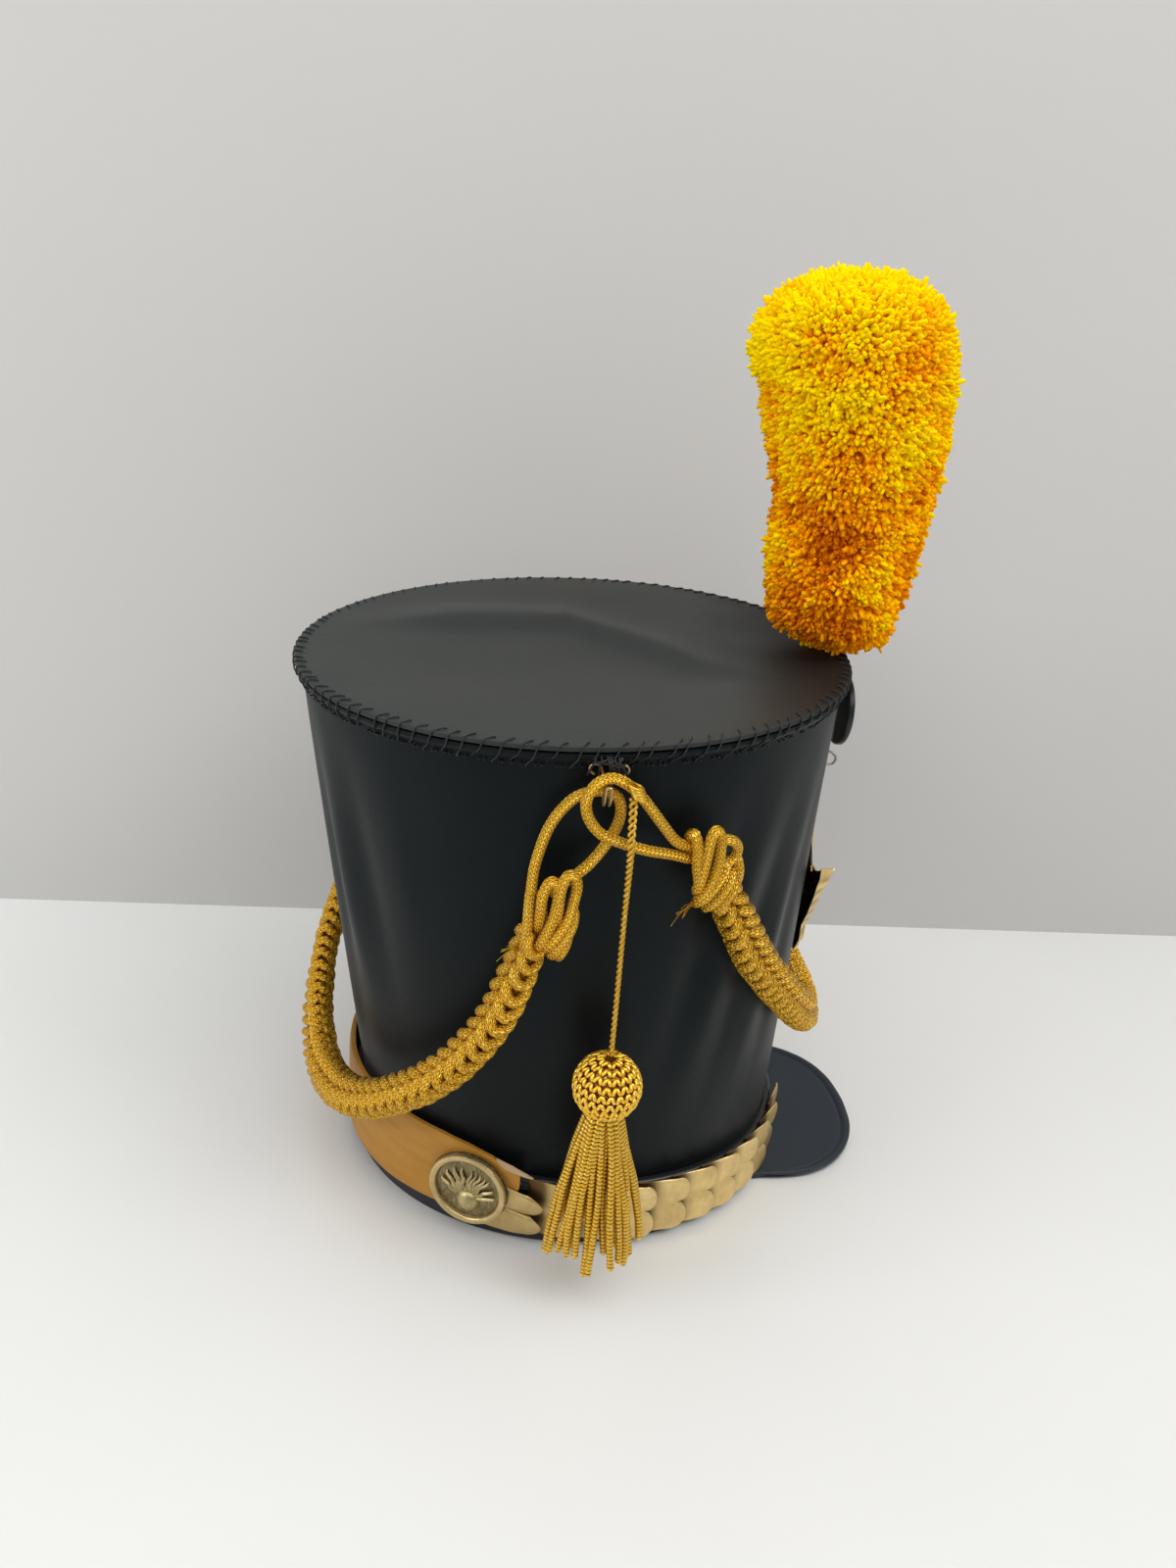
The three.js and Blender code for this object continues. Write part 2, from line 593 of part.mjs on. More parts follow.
const skirtTop = SKIRT_ROWS[SKIRT_ROWS.length - 1];
const skirtProfile = [[0, SKIRT_BOTTOM], ...SKIRT_ROWS.map(([z, r]) => [r, z]), [0, skirtTop[0]]];
const skirt = lathe(skirtProfile, 16).scale(SKIRT_FLATTEN, 1, 1);
add('tassel_skirt', skirt.translate(TASSEL_X, TASSEL_Y - 2, 0), goldCord);

// ---- place the base on the origin --------------------------------------------------

// The festoons and the tassel hang free, so the rest of the hat sets the middle.
const solidParts = hat.children.filter((mesh) => !/^(festoon|tassel)_/.test(mesh.name));
const frame = new THREE.Box3();
hat.updateMatrixWorld(true);
solidParts.forEach((mesh) => frame.expandByObject(mesh, true));
const middle = frame.getCenter(new THREE.Vector3());
for (const mesh of hat.children) mesh.position.y -= middle.y;

export default hat;
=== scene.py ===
"""The looks of a tall leather shako: crown, chin scales, plume, plaited festoons and tassel."""

import math
import random

import bmesh
import bpy
from bpy.props import (
    FloatProperty,
    FloatVectorProperty,
    IntProperty,
    PointerProperty,
)
from mathutils import Matrix, Vector, noise


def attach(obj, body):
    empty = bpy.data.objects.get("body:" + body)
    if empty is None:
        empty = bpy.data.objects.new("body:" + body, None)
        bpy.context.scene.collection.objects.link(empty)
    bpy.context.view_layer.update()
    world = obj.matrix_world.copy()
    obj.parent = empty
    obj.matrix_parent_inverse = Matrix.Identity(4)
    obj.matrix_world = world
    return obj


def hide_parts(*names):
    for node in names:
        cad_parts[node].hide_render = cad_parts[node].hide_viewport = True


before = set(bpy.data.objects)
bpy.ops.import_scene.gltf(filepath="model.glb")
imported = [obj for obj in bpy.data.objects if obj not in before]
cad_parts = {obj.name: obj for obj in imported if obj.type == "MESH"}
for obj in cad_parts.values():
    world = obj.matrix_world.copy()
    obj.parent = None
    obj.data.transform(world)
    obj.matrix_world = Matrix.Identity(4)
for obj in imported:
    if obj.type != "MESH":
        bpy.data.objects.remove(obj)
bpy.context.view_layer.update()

bl_info = {
    "name": "Leather Shako",
    "version": (1, 0, 0),
    "blender": (4, 5, 0),
    "location": "View3D > Sidebar > Shako",
    "description": "Builds the visible pieces of a leather shako on its CAD parts",
    "category": "Object",
}

MM = 0.001

# The hat's main sizes, in mm.
SHIFT = 9.2211  # the hat's middle lies this far behind the middle of its base
GAP = 0.3  # between pieces that meet
BASE_X, BASE_Y = 87.1, 99.8  # half widths of the oval base
CROWN_RADIUS = 116.0  # the round top, its middle and its rise toward the front
CROWN_Y = 15.4
CROWN_Z = 246.3
CROWN_SLOPE = 0.058
FLARE_Z = 39.0  # the wall is upright below and flares above
LIP = 2.6  # how far the wall's top edge turns out
BAND = 2.0  # thickness of the base band
WALL_TOP_RADIUS = CROWN_RADIUS - LIP - 0.4

# ---- camera, its place in mm ----

CAMERA_PLACE = (-481.1, 62.3, 393.7)
CAMERA_RIGHT = (-0.0798, -0.9922, 0.0958)
CAMERA_UP = (0.4067, 0.0554, 0.9119)
CAMERA_VIEW = (0.9101, -0.1117, -0.3991)
CAMERA_LENS, CAMERA_SENSOR = 27.0, 36.0

# ---- routes and sizes of the cords, in mm ----

FRONT_LOOP = [
    (-111.5, -23, 209.5), (-115, -16, 213), (-117.5, -8.5, 222), (-118.3, -1, 231),
    (-118.2, 4.5, 235.4), (-118, 9.8, 237.1), (-119.6, 15, 235.3), (-121.2, 18, 230),
    (-121.4, 16.8, 223.5), (-121, 12, 217.5), (-120.2, 4.5, 214), (-118.6, -5, 210.8),
    (-115, -15, 207.8), (-112, -22, 205),
]
BACK_LOOP = [
    (-117.3, 33.8, 191.2), (-117, 33, 203), (-116.8, 29.2, 217.6), (-116.4, 22.6, 227.4),
    (-116.5, 16.4, 230.9), (-116.6, 10.6, 231.6), (-115.9, 6.6, 229), (-115, 5, 223.6),
    (-114.8, 5.8, 217.4), (-115, 9.4, 209.6), (-115.8, 14.6, 202.2), (-116.6, 21, 196.4),
    (-117.3, 27.5, 191.4),
]
FRONT_BRAID = [
    (-105.5, -37.5, 190), (-101, -46, 175), (-95, -56, 157), (-86, -68.5, 139),
    (-74.5, -81, 122.5), (-60, -92, 107), (-42, -101.2, 95), (-21, -107.4, 87.5),
    (0, -109.4, 85),
]
BACK_BRAID = [
    (-115.5, 31.5, 173), (-112.5, 35.5, 155), (-110, 41.5, 135), (-106, 51, 115),
    (-99.5, 64.5, 95.5), (-90, 79, 80), (-78, 91.5, 67.5), (-62.5, 102.5, 58),
    (-45.5, 111, 53.5), (-28, 117.2, 53.2), (-11, 120.8, 58), (3, 121.8, 66),
    (16, 121.2, 76.5), (31, 118.4, 89), (50, 112, 104), (71, 101.4, 121),
    (88.5, 87, 136), (101, 69, 146), (108.5, 52, 153), (112.5, 40, 160),
    (115.5, 31.5, 173),
]
TASSEL_X, TASSEL_Y = -117.0, -2.0
BALL_Z, BALL_RADIUS = 108.0, 13.6
TASSEL_DROP = [
    (-122.6, 2.2, 232), (-123.4, 2, 226), (-124, 1.6, 218), (-123.8, 1.2, 211),
    (-121.8, 0.6, 200), (-119.6, 0, 186), (-118, -0.6, 172), (-117.3, -1.2, 154),
    (TASSEL_X, -1.7, 136), (TASSEL_X, TASSEL_Y, BALL_Z + BALL_RADIUS + GAP),
]
CORD, BRAID_WIDTH, TASSEL_CORD = 4.0, 17.0, 2.4


def mirrored(points):
    """The same line on the wearer's other side."""
    return [(-x, y, z) for x, y, z in points]


def placed(point):
    """A point of the hat in mm, in the row's frame in metres."""
    return Vector((point[0], point[1] + SHIFT, point[2])) * MM


# ---- settings a user would change ----


class ShakoSizes(bpy.types.PropertyGroup):
    leather: FloatProperty(
        name="Leather", description="Thickness of the body leather",
        default=0.0025, min=0.001, max=0.005, subtype="DISTANCE", unit="LENGTH",
    )
    crown_leather: FloatProperty(
        name="Crown leather", description="Thickness of the crown's top sheet",
        default=0.002, min=0.001, max=0.004, subtype="DISTANCE", unit="LENGTH",
    )
    stitches: IntProperty(
        name="Crown stitches", description="Whip stitches round the crown's edge",
        default=112, min=40, max=260,
    )
    fold_depth: FloatProperty(
        name="Fold depth", description="Depth of the soft folds in the body",
        default=0.0028, min=0.0, max=0.006, subtype="DISTANCE", unit="LENGTH",
    )
    tufts: IntProperty(
        name="Plume tufts", description="Tufts of wool on the plume",
        default=19000, min=500, max=21000,
    )
    strands: IntProperty(
        name="Tassel strands", description="Bullion strands in the tassel's outer layer",
        default=24, min=8, max=40,
    )


class ShakoColours(bpy.types.PropertyGroup):
    leather: FloatVectorProperty(
        name="Body leather", description="Black leather of the body",
        default=(0.0012, 0.0022, 0.0028), subtype="COLOR", min=0, max=1,
    )
    crown: FloatVectorProperty(
        name="Crown leather", description="Duller leather of the top",
        default=(0.0145, 0.018, 0.0175), subtype="COLOR", min=0, max=1,
    )
    peak: FloatVectorProperty(
        name="Peak leather", description="Blue-black leather of the peak",
        default=(0.012, 0.018, 0.027), subtype="COLOR", min=0, max=1,
    )
    tan: FloatVectorProperty(
        name="Strap leather", description="Tan leather of the back strap",
        default=(0.42, 0.19, 0.014), subtype="COLOR", min=0, max=1,
    )
    brass: FloatVectorProperty(
        name="Scale brass", description="Dull brass of the chin scales",
        default=(0.84, 0.63, 0.27), subtype="COLOR", min=0, max=1,
    )
    boss: FloatVectorProperty(
        name="Boss brass", description="Antique brass of the bosses",
        default=(0.50, 0.40, 0.19), subtype="COLOR", min=0, max=1,
    )
    gold: FloatVectorProperty(
        name="Gold cord", description="Metal thread of the cords",
        default=(1.0, 0.58, 0.03), subtype="COLOR", min=0, max=1,
    )
    wool: FloatVectorProperty(
        name="Plume wool", description="Yellow wool of the plume",
        default=(1.0, 0.75, 0.001), subtype="COLOR", min=0, max=1,
    )


def sizes():
    return bpy.context.scene.shako_sizes


def colours():
    return bpy.context.scene.shako_colours


# ---- node helpers ----


class Nodes:
    """Adds nodes to a tree and joins them, left to right."""

    def __init__(self, tree):
        self.tree = tree
        self.count = 0

    def add(self, kind, inputs=None, **settings):
        node = self.tree.nodes.new(kind)
        node.location = (self.count * 190 - 1400, -(self.count % 4) * 160)
        self.count += 1
        for key, value in settings.items():
            setattr(node, key, value)
        for key, value in (inputs or {}).items():
            self.put(value, node.inputs[key])
        return node

    def put(self, value, socket):
        if isinstance(value, bpy.types.NodeSocket):
            self.tree.links.new(value, socket)
        elif socket.type == "RGBA" and len(value) == 3:
            socket.default_value = (*value, 1)
        else:
            socket.default_value = value

    def math(self, operation, *values, clamp=False):
        node = self.add("ShaderNodeMath", operation=operation, use_clamp=clamp)
        for value, socket in zip(values, node.inputs):
            self.put(value, socket)
        return node.outputs[0]

    def between(self, value, low, high, to_low=0.0, to_high=1.0):
        node = self.add("ShaderNodeMapRange", {"Value": value})
        for key, number in (
            ("From Min", low), ("From Max", high), ("To Min", to_low), ("To Max", to_high),
        ):
            self.put(number, node.inputs[key])
        return node.outputs["Result"]

    def mix(self, amount, first, second):
        node = self.add("ShaderNodeMix", data_type="RGBA")
        self.put(amount, node.inputs[0])
        self.put(first, node.inputs[6])
        self.put(second, node.inputs[7])
        return node.outputs[2]

    def noise(self, vector, scale, detail=4.0, rough=0.55):
        return self.add(
            "ShaderNodeTexNoise",
            {"Vector": vector, "Scale": scale, "Detail": detail, "Roughness": rough},
        ).outputs["Fac"]

    def tone(self):
        """The piece's tone at each point, from 0 to 1: low tones are painted shade in its hollows
        and under other parts; some pieces are toned evenly or at random as well.
        """
        return self.add("ShaderNodeAttribute", attribute_name="tone").outputs["Fac"]


def new_group(name, inputs, outputs):
    """A shader node group with float outputs: the tree, its helper, its inputs and its end."""
    tree = bpy.data.node_groups.new(name, "ShaderNodeTree")
    for label, kind, value in inputs:
        socket = tree.interface.new_socket(label, in_out="INPUT", socket_type=kind)
        if value is not None:
            socket.default_value = value
    for label in outputs:
        tree.interface.new_socket(label, in_out="OUTPUT", socket_type="NodeSocketFloat")
    nodes = Nodes(tree)
    start = nodes.add("NodeGroupInput")
    end = nodes.add("NodeGroupOutput")
    return tree, nodes, start.outputs, end


def grain_group():
    """Leather grain: fine cells, broken by broad patches of smoother skin."""
    tree, n, given, end = new_group(
        "leather_grain",
        [("Vector", "NodeSocketVector", None), ("Cells", "NodeSocketFloat", 900.0),
         ("Patches", "NodeSocketFloat", 9.0)],
        ["Height", "Patch"],
    )
    cells = n.add(
        "ShaderNodeTexVoronoi",
        {"Vector": given["Vector"], "Scale": given["Cells"], "Randomness": 1.0},
        feature="SMOOTH_F1",
    ).outputs["Distance"]
    creases = n.noise(given["Vector"], n.math("MULTIPLY", given["Cells"], 0.22), 6.0, 0.6)
    patch = n.noise(given["Vector"], given["Patches"], 5.0, 0.6)
    height = n.math("ADD", n.math("MULTIPLY", cells, 0.6), n.math("MULTIPLY", creases, 0.7))
    n.put(height, end.inputs["Height"])
    n.put(n.between(patch, 0.32, 0.68), end.inputs["Patch"])
    return tree


def scuff_group():
    """Scuffs: fine scratches in two directions and soft stains."""
    tree, n, given, end = new_group(
        "metal_scuffs",
        [("Vector", "NodeSocketVector", None), ("Scale", "NodeSocketFloat", 60.0)],
        ["Scratch", "Stain"],
    )
    lines = []
    for turn, stretch in ((0.6, (1.0, 22.0, 3.0)), (-0.9, (18.0, 1.2, 4.0))):
        spun = n.add(
            "ShaderNodeMapping",
            {"Vector": given["Vector"], "Rotation": (turn, turn * 0.5, turn), "Scale": stretch},
        ).outputs["Vector"]
        lines.append(n.between(n.noise(spun, given["Scale"], 3.0, 0.7), 0.56, 0.66))
    scratch = n.math("MAXIMUM", *lines)
    stain = n.noise(given["Vector"], n.math("MULTIPLY", given["Scale"], 1.6), 6.0, 0.62)
    n.put(scratch, end.inputs["Scratch"])
    n.put(n.between(stain, 0.36, 0.66), end.inputs["Stain"])
    return tree


def weave_group():
    """Plaited thread round a cord: columns of slanting stitches that meet in Vs."""
    tree, n, given, end = new_group(
        "cord_weave",
        [("Vector", "NodeSocketVector", None), ("Columns", "NodeSocketFloat", 6.0),
         ("Pitch", "NodeSocketFloat", 4.0)],
        ["Height"],
    )
    parts = n.add("ShaderNodeSeparateXYZ", {"Vector": given["Vector"]}).outputs
    column = n.math("FRACT", n.math("MULTIPLY", parts["X"], given["Columns"]))
    slant = n.math("ABSOLUTE", n.math("SUBTRACT", column, 0.5))
    along = n.math("MULTIPLY_ADD", parts["Y"], given["Pitch"], n.math("MULTIPLY", slant, 1.5))
    stitch = n.math("SINE", n.math("MULTIPLY", n.math("FRACT", along), math.pi))
    half = n.math("FRACT", n.math("MULTIPLY", column, 2.0))
    ridge = n.math("SINE", n.math("MULTIPLY", half, math.pi))
    n.put(n.math("MULTIPLY", stitch, n.math("POWER", ridge, 0.5)), end.inputs["Height"])
    return tree


def tuft_group():
    """Wool: fine strands and soft clumps."""
    tree, n, given, end = new_group(
        "wool_tuft",
        [("Vector", "NodeSocketVector", None), ("Scale", "NodeSocketFloat", 500.0)],
        ["Height", "Clump"],
    )
    strand = n.noise(given["Vector"], given["Scale"], 5.0, 0.7)
    clump = n.noise(given["Vector"], n.math("MULTIPLY", given["Scale"], 0.12), 3.0, 0.5)
    n.put(strand, end.inputs["Height"])
    n.put(n.between(clump, 0.35, 0.65), end.inputs["Clump"])
    return tree


GROUP_MAKERS = {
    "grain": grain_group, "scuffs": scuff_group, "weave": weave_group, "tuft": tuft_group,
}
GROUPS = {}


def group(name):
    """The node group of that name, made when it is first asked for."""
    if name not in GROUPS:
        GROUPS[name] = GROUP_MAKERS[name]()
    return GROUPS[name]


class Finish:
    """A material under way: its shader, a helper for nodes and the object's coordinates."""

    def __init__(self, name, **constants):
        self.material = bpy.data.materials.new(name)
        self.material.use_nodes = True
        tree = self.material.node_tree
        self.shader = next(x for x in tree.nodes if x.type == "BSDF_PRINCIPLED")
        self.nodes = Nodes(tree)
        coordinates = self.nodes.add("ShaderNodeTexCoord").outputs
        self.place = coordinates["Object"]
        self.uv = coordinates["UV"]
        for key, value in constants.items():
            self.nodes.put(value, self.shader.inputs[key.replace("_", " ")])

    def use(self, group_name, vector, **values):
        node = self.nodes.add("ShaderNodeGroup", node_tree=group(group_name))
        self.nodes.put(vector, node.inputs["Vector"])
        for key, value in values.items():
            node.inputs[key].default_value = value
        return node.outputs

    def set(self, socket, value):
        self.nodes.put(value, self.shader.inputs[socket])

    def bump(self, height, strength, distance):
        node = self.nodes.add(
            "ShaderNodeBump", {"Height": height, "Strength": strength, "Distance": distance}
        )
        self.set("Normal", node.outputs["Normal"])


FINE = 0.0002  # height of the finest relief, in metres


def chosen(colour):
    """The colour, or that of the setting it names."""
    return getattr(colours(), colour) if isinstance(colour, str) else colour


def leather(name, colour, lighter, rough, cells, gloss=0.4):
    f = Finish(name, Specular_IOR_Level=gloss)
    grain = f.use("grain", f.place, Cells=cells, Patches=9.0)
    n = f.nodes
    tone = n.between(grain["Patch"], 0, 1, 0.0, 0.5)
    f.set("Base Color", n.mix(tone, chosen(colour), lighter))
    f.set("Roughness", n.between(grain["Patch"], 0, 1, rough, rough + 0.09))
    f.bump(grain["Height"], 0.35, FINE)
    return f


def body_leather():
    f = leather("body_leather", "leather", (0.0022, 0.0040, 0.0050), 0.40, 900, gloss=0.13)
    f.set("Specular Tint", (0.76, 0.96, 1.0))
    f.set("Sheen Weight", 0.055)
    f.set("Sheen Roughness", 0.4)
    return f


def crown_leather():
    f = Finish("crown_leather", Specular_IOR_Level=0.28)
    grain = f.use("grain", f.place, Cells=700, Patches=7.0)
    n = f.nodes
    worn = n.noise(f.place, 5.0, 6.0, 0.7)
    base = n.mix(grain["Patch"], colours().crown, (0.022, 0.026, 0.0245))
    front = n.add("ShaderNodeSeparateXYZ", {"Vector": f.place}).outputs["Y"]
    # Painted shade: the front of the top is painted darker, and it is rougher there.
    painted_dark_front = n.between(n.math("MULTIPLY_ADD", worn, 0.05, front), -0.01, -0.055)
    brown = n.mix(n.between(worn, 0.50, 0.72, 0, 0.6), base, (0.030, 0.021, 0.013))
    f.set("Base Color", n.mix(painted_dark_front, brown, (0.004, 0.003, 0.002)))
    shine = n.between(grain["Patch"], 0, 1, 0.42, 0.52)
    f.set("Roughness", n.math("MULTIPLY_ADD", painted_dark_front, 0.16, shine))
    f.bump(grain["Height"], 0.4, 0.0003)
    return f


def tan_leather():
    f = Finish("tan_leather", Specular_IOR_Level=0.25)
    grain = f.use("grain", f.place, Cells=1100, Patches=14.0)
    n = f.nodes
    streak = n.noise(
        n.add("ShaderNodeMapping", {"Vector": f.place, "Scale": (6, 6, 40)}).outputs[0], 6.0, 5.0
    )
    base = n.mix(grain["Patch"], colours().tan, (0.50, 0.245, 0.045))
    f.set("Base Color", n.mix(n.between(streak, 0.45, 0.75, 0, 0.45), base, (0.26, 0.11, 0.02)))
    f.set("Roughness", n.between(streak, 0.3, 0.7, 0.42, 0.55))
    f.bump(grain["Height"], 0.3, FINE)
    return f


def brass(name, colour, dark, rough, scale, painted_shade=False):
    f = Finish(name, Metallic=0.92)
    scuffs = f.use("scuffs", f.place, Scale=scale)
    n = f.nodes
    stained = n.mix(n.between(scuffs["Stain"], 0, 1, 0, 0.45), chosen(colour), dark)
    shade = n.mix(n.between(scuffs["Scratch"], 0, 1, 0, 0.3), stained, (0.86, 0.70, 0.40))
    # Painted shade: a low tone darkens the brass under the edge of the scale before it and between
    # the front plate's ribs; the first scale is darkened evenly.
    if painted_shade:
        shade = n.mix(n.between(n.tone(), 0.2, 0.95), (0.12, 0.07, 0.025), shade)
    f.set("Base Color", shade)
    rubbed = n.math("MULTIPLY", scuffs["Stain"], 0.14)
    scraped = n.math("MULTIPLY", scuffs["Scratch"], -0.10)
    f.set("Roughness", n.math("ADD", n.math("ADD", rubbed, rough), scraped))
    hollow = n.noise(f.place, scale * 3.0, 4.0, 0.6)
    f.bump(n.math("SUBTRACT", hollow, n.math("MULTIPLY", scuffs["Scratch"], 0.3)), 0.35, FINE)
    return f


def gold_cord():
    f = Finish("gold_cord", Metallic=0.9)
    weave = f.use("weave", f.uv, Columns=8.0, Pitch=2.35)
    n = f.nodes
    tone = n.tone()
    glint = n.noise(f.place, 1300.0, 2.0, 0.6)
    # Painted shade: the weave's grooves take a dark orange.
    shade = n.mix(n.between(weave["Height"], 0.15, 0.75), (0.42, 0.160, 0.003), colours().gold)
    # Painted highlight: bright yellow speckles on the weave's ridges.
    painted_sparkle = n.math("MULTIPLY", n.between(glint, 0.52, 0.66), weave["Height"], clamp=True)
    lit = n.mix(painted_sparkle, shade, (1.0, 0.88, 0.30))
    # Painted shade: a low tone darkens the cord where plait cords dive under others and on the
    # plait's filling.
    f.set("Base Color", n.mix(n.between(tone, 0.0, 1.0, 0.85, 0.0), lit, (0.16, 0.055, 0.001)))
    f.set("Roughness", n.between(glint, 0.4, 0.7, 0.36, 0.20))
    f.bump(n.math("ADD", weave["Height"], n.math("MULTIPLY", glint, 0.5)), 0.75, 0.0005)
    return f


def gold_bullion():
    f = Finish("gold_bullion", Metallic=0.8)
    n = f.nodes
    groove = n.tone()
    glint = n.noise(f.place, 900.0, 3.0, 0.6)
    # Painted shade: a low tone darkens the bullion in the grooves between a strand's coils and on
    # the ball's core; the cord and its binding are toned darker evenly.
    shade = n.mix(groove, (0.16, 0.055, 0.002), (0.94, 0.57, 0.05))
    # Painted highlight: bright pale speckles.
    f.set("Base Color", n.mix(n.between(glint, 0.55, 0.75, 0, 0.8), shade, (1.0, 0.90, 0.42)))
    f.set("Roughness", n.between(glint, 0.4, 0.7, 0.42, 0.24))
    f.bump(glint, 0.5, FINE)
    return f


def plume_wool():
    # The wool glows faintly in its own colour, with its painted shade: painted light.
    f = Finish("plume_wool", Roughness=0.95, Specular_IOR_Level=0.02, Emission_Strength=0.05)
    n = f.nodes
    tone = n.tone()
    wool = f.use("tuft", f.place, Scale=600.0)
    # Painted shade: a low tone, at the tufts' roots and on the core, takes a darker orange; the
    # clumps vary the dye.
    deep = n.mix(n.between(tone, 0.0, 0.5), (0.58, 0.11, 0.001), (0.98, 0.37, 0.001))
    bright = n.mix(n.between(tone, 0.4, 0.95), deep, colours().wool)
    wool_with_painted_shade = n.mix(n.between(wool["Clump"], 0, 1, 0, 0.15), bright, (0.90, 0.36, 0.0))
    f.set("Base Color", wool_with_painted_shade)
    f.set("Emission Color", wool_with_painted_shade)
    f.bump(wool["Height"], 0.6, 0.0008)
    return f


def black_thread():
    f = Finish("black_thread", Specular_IOR_Level=0.4)
    n = f.nodes
    twist = n.add(
        "ShaderNodeTexWave",
        {"Vector": f.place, "Scale": 700.0, "Distortion": 2.0},
        bands_direction="DIAGONAL",
    ).outputs["Fac"]
    f.set("Base Color", n.mix(twist, (0.006, 0.006, 0.007), (0.018, 0.019, 0.021)))
    f.set("Roughness", n.between(twist, 0, 1, 0.6, 0.42))
    f.bump(twist, 0.5, FINE)
    return f


def table_white():
    f = Finish("table_white", Specular_IOR_Level=0.5)
    n = f.nodes
    smear = n.noise(f.place, 4.0, 4.0, 0.55)
    grit = n.add("ShaderNodeTexVoronoi", {"Vector": f.place, "Scale": 26.0, "Randomness": 1.0})
    speck = n.between(grit.outputs["Distance"], 0.016, 0.024, 1.0, 0.0)
    rare = n.math("GREATER_THAN", n.noise(f.place, 7.0, 2.0), 0.56)
    base = n.mix(smear, (0.655, 0.66, 0.65), (0.71, 0.715, 0.705))
    f.set("Base Color", n.mix(n.math("MULTIPLY", speck, rare), base, (0.45, 0.44, 0.42)))
    f.set("Roughness", n.between(smear, 0.3, 0.7, 0.30, 0.45))
    return f


def wall_grey():
    """Plain grey from the room, and clear from behind, where it would hide the hat."""
    f = Finish("wall_grey", Roughness=0.9, Specular_IOR_Level=0.2)
    n = f.nodes
    soft = n.noise(f.place, 1.5, 3.0, 0.5)
    f.set("Base Color", n.mix(soft, (0.54, 0.535, 0.525), (0.595, 0.59, 0.58)))
    f.bump(n.noise(f.place, 500.0, 3.0, 0.5), 0.08, 0.0003)
    behind = n.add("ShaderNodeNewGeometry").outputs["Backfacing"]
    clear = n.add("ShaderNodeBsdfTransparent").outputs[0]
    one_way = n.add("ShaderNodeMixShader", {0: behind, 1: f.shader.outputs[0], 2: clear})
    output = next(x for x in f.material.node_tree.nodes if x.type == "OUTPUT_MATERIAL")
    n.put(one_way.outputs[0], output.inputs["Surface"])
    return f


# Plain leathers: colour, colour of the lighter patches, roughness, scale of the grain.
LEATHERS = {
    "peak_leather": ("peak", (0.019, 0.027, 0.040), 0.36, 1000),
    "band_leather": ((0.008, 0.009, 0.010), (0.014, 0.015, 0.017), 0.24, 800),
    "pale_leather": ((0.50, 0.33, 0.17), (0.60, 0.43, 0.26), 0.55, 1200),
}
# Metals: colour, colour of the stains, roughness, scale of the scuffs, and whether a low tone
# paints shade into the brass.
METALS = {
    "scale_brass": ("brass", (0.46, 0.31, 0.13), 0.40, 55.0, True),
    "boss_brass": ("boss", (0.20, 0.16, 0.08), 0.34, 90.0),
    "boss_ground": ((0.24, 0.19, 0.09), (0.10, 0.08, 0.04), 0.42, 90.0),
    "boss_rim_brass": ((0.62, 0.47, 0.22), (0.34, 0.25, 0.11), 0.30, 90.0),
    "hook_brass": ((0.50, 0.38, 0.20), (0.22, 0.14, 0.07), 0.34, 200.0),
    "dark_brass": ((0.10, 0.085, 0.05), (0.03, 0.025, 0.018), 0.5, 90.0),
    "steel_wire": ((0.42, 0.41, 0.39), (0.14, 0.13, 0.12), 0.38, 160.0),
}
FINISHES = {
    make.__name__: make
    for make in (body_leather, crown_leather, tan_leather, gold_cord, gold_bullion, plume_wool,
                 black_thread, table_white, wall_grey)
}
MATERIALS = {}


def finish(name):
    """The material of that name, made when it is first asked for."""
    if name not in MATERIALS:
        if name in LEATHERS:
            made = leather(name, *LEATHERS[name])
        elif name in METALS:
            made = brass(name, *METALS[name])
        else:
            made = FINISHES[name]()
        MATERIALS[name] = made.material
    return MATERIALS[name]


# ---- mesh helpers ----


def mix(a, b, t):
    return a + (b - a) * t


def from_table(table, where):
    """A value from rows of (where, value), with straight lines between rows."""
    if where <= table[0][0]:
        return table[0][1]
    for (x0, y0), (x1, y1) in zip(table, table[1:]):
        if where <= x1:
            return mix(y0, y1, (where - x0) / (x1 - x0))
    return table[-1][1]


def clear_selection():
    if bpy.context.mode != "OBJECT":
        bpy.ops.object.mode_set(mode="OBJECT")
    bpy.ops.object.select_all(action="DESELECT")


def named(name, finish_name):
    """The new active object gets its name and its material."""
    piece = bpy.context.object
    piece.name = name
    piece.data.name = name
    piece.data.materials.clear()
    piece.data.materials.append(finish(finish_name))
    return piece


def select_only(piece):
    clear_selection()
    piece.select_set(True)
    bpy.context.view_layer.objects.active = piece


def modify(piece, kind, **settings):
    """A modifier, applied at once."""
    select_only(piece)
    modifier = piece.modifiers.new(kind.title(), kind)
    for key, value in settings.items():
        setattr(modifier, key, value)
    bpy.ops.object.modifier_apply(modifier=modifier.name)


def thicken(piece, thickness, offset=-1):
    """Gives a sheet its thickness, in metres."""
    modify(piece, "SOLIDIFY", thickness=thickness, offset=offset, use_rim=True)


def ease_edges(piece, width, segments, degrees):
    """Bevels the edges that turn by more than the angle; the width is in metres."""
    modify(piece, "BEVEL", width=width, segments=segments, limit_method="ANGLE",
           angle_limit=math.radians(degrees))


def edit_whole(piece):
    """Opens the piece in edit mode with all of it selected."""
    select_only(piece)
    bpy.ops.object.mode_set(mode="EDIT")
    bpy.ops.mesh.select_all(action="SELECT")


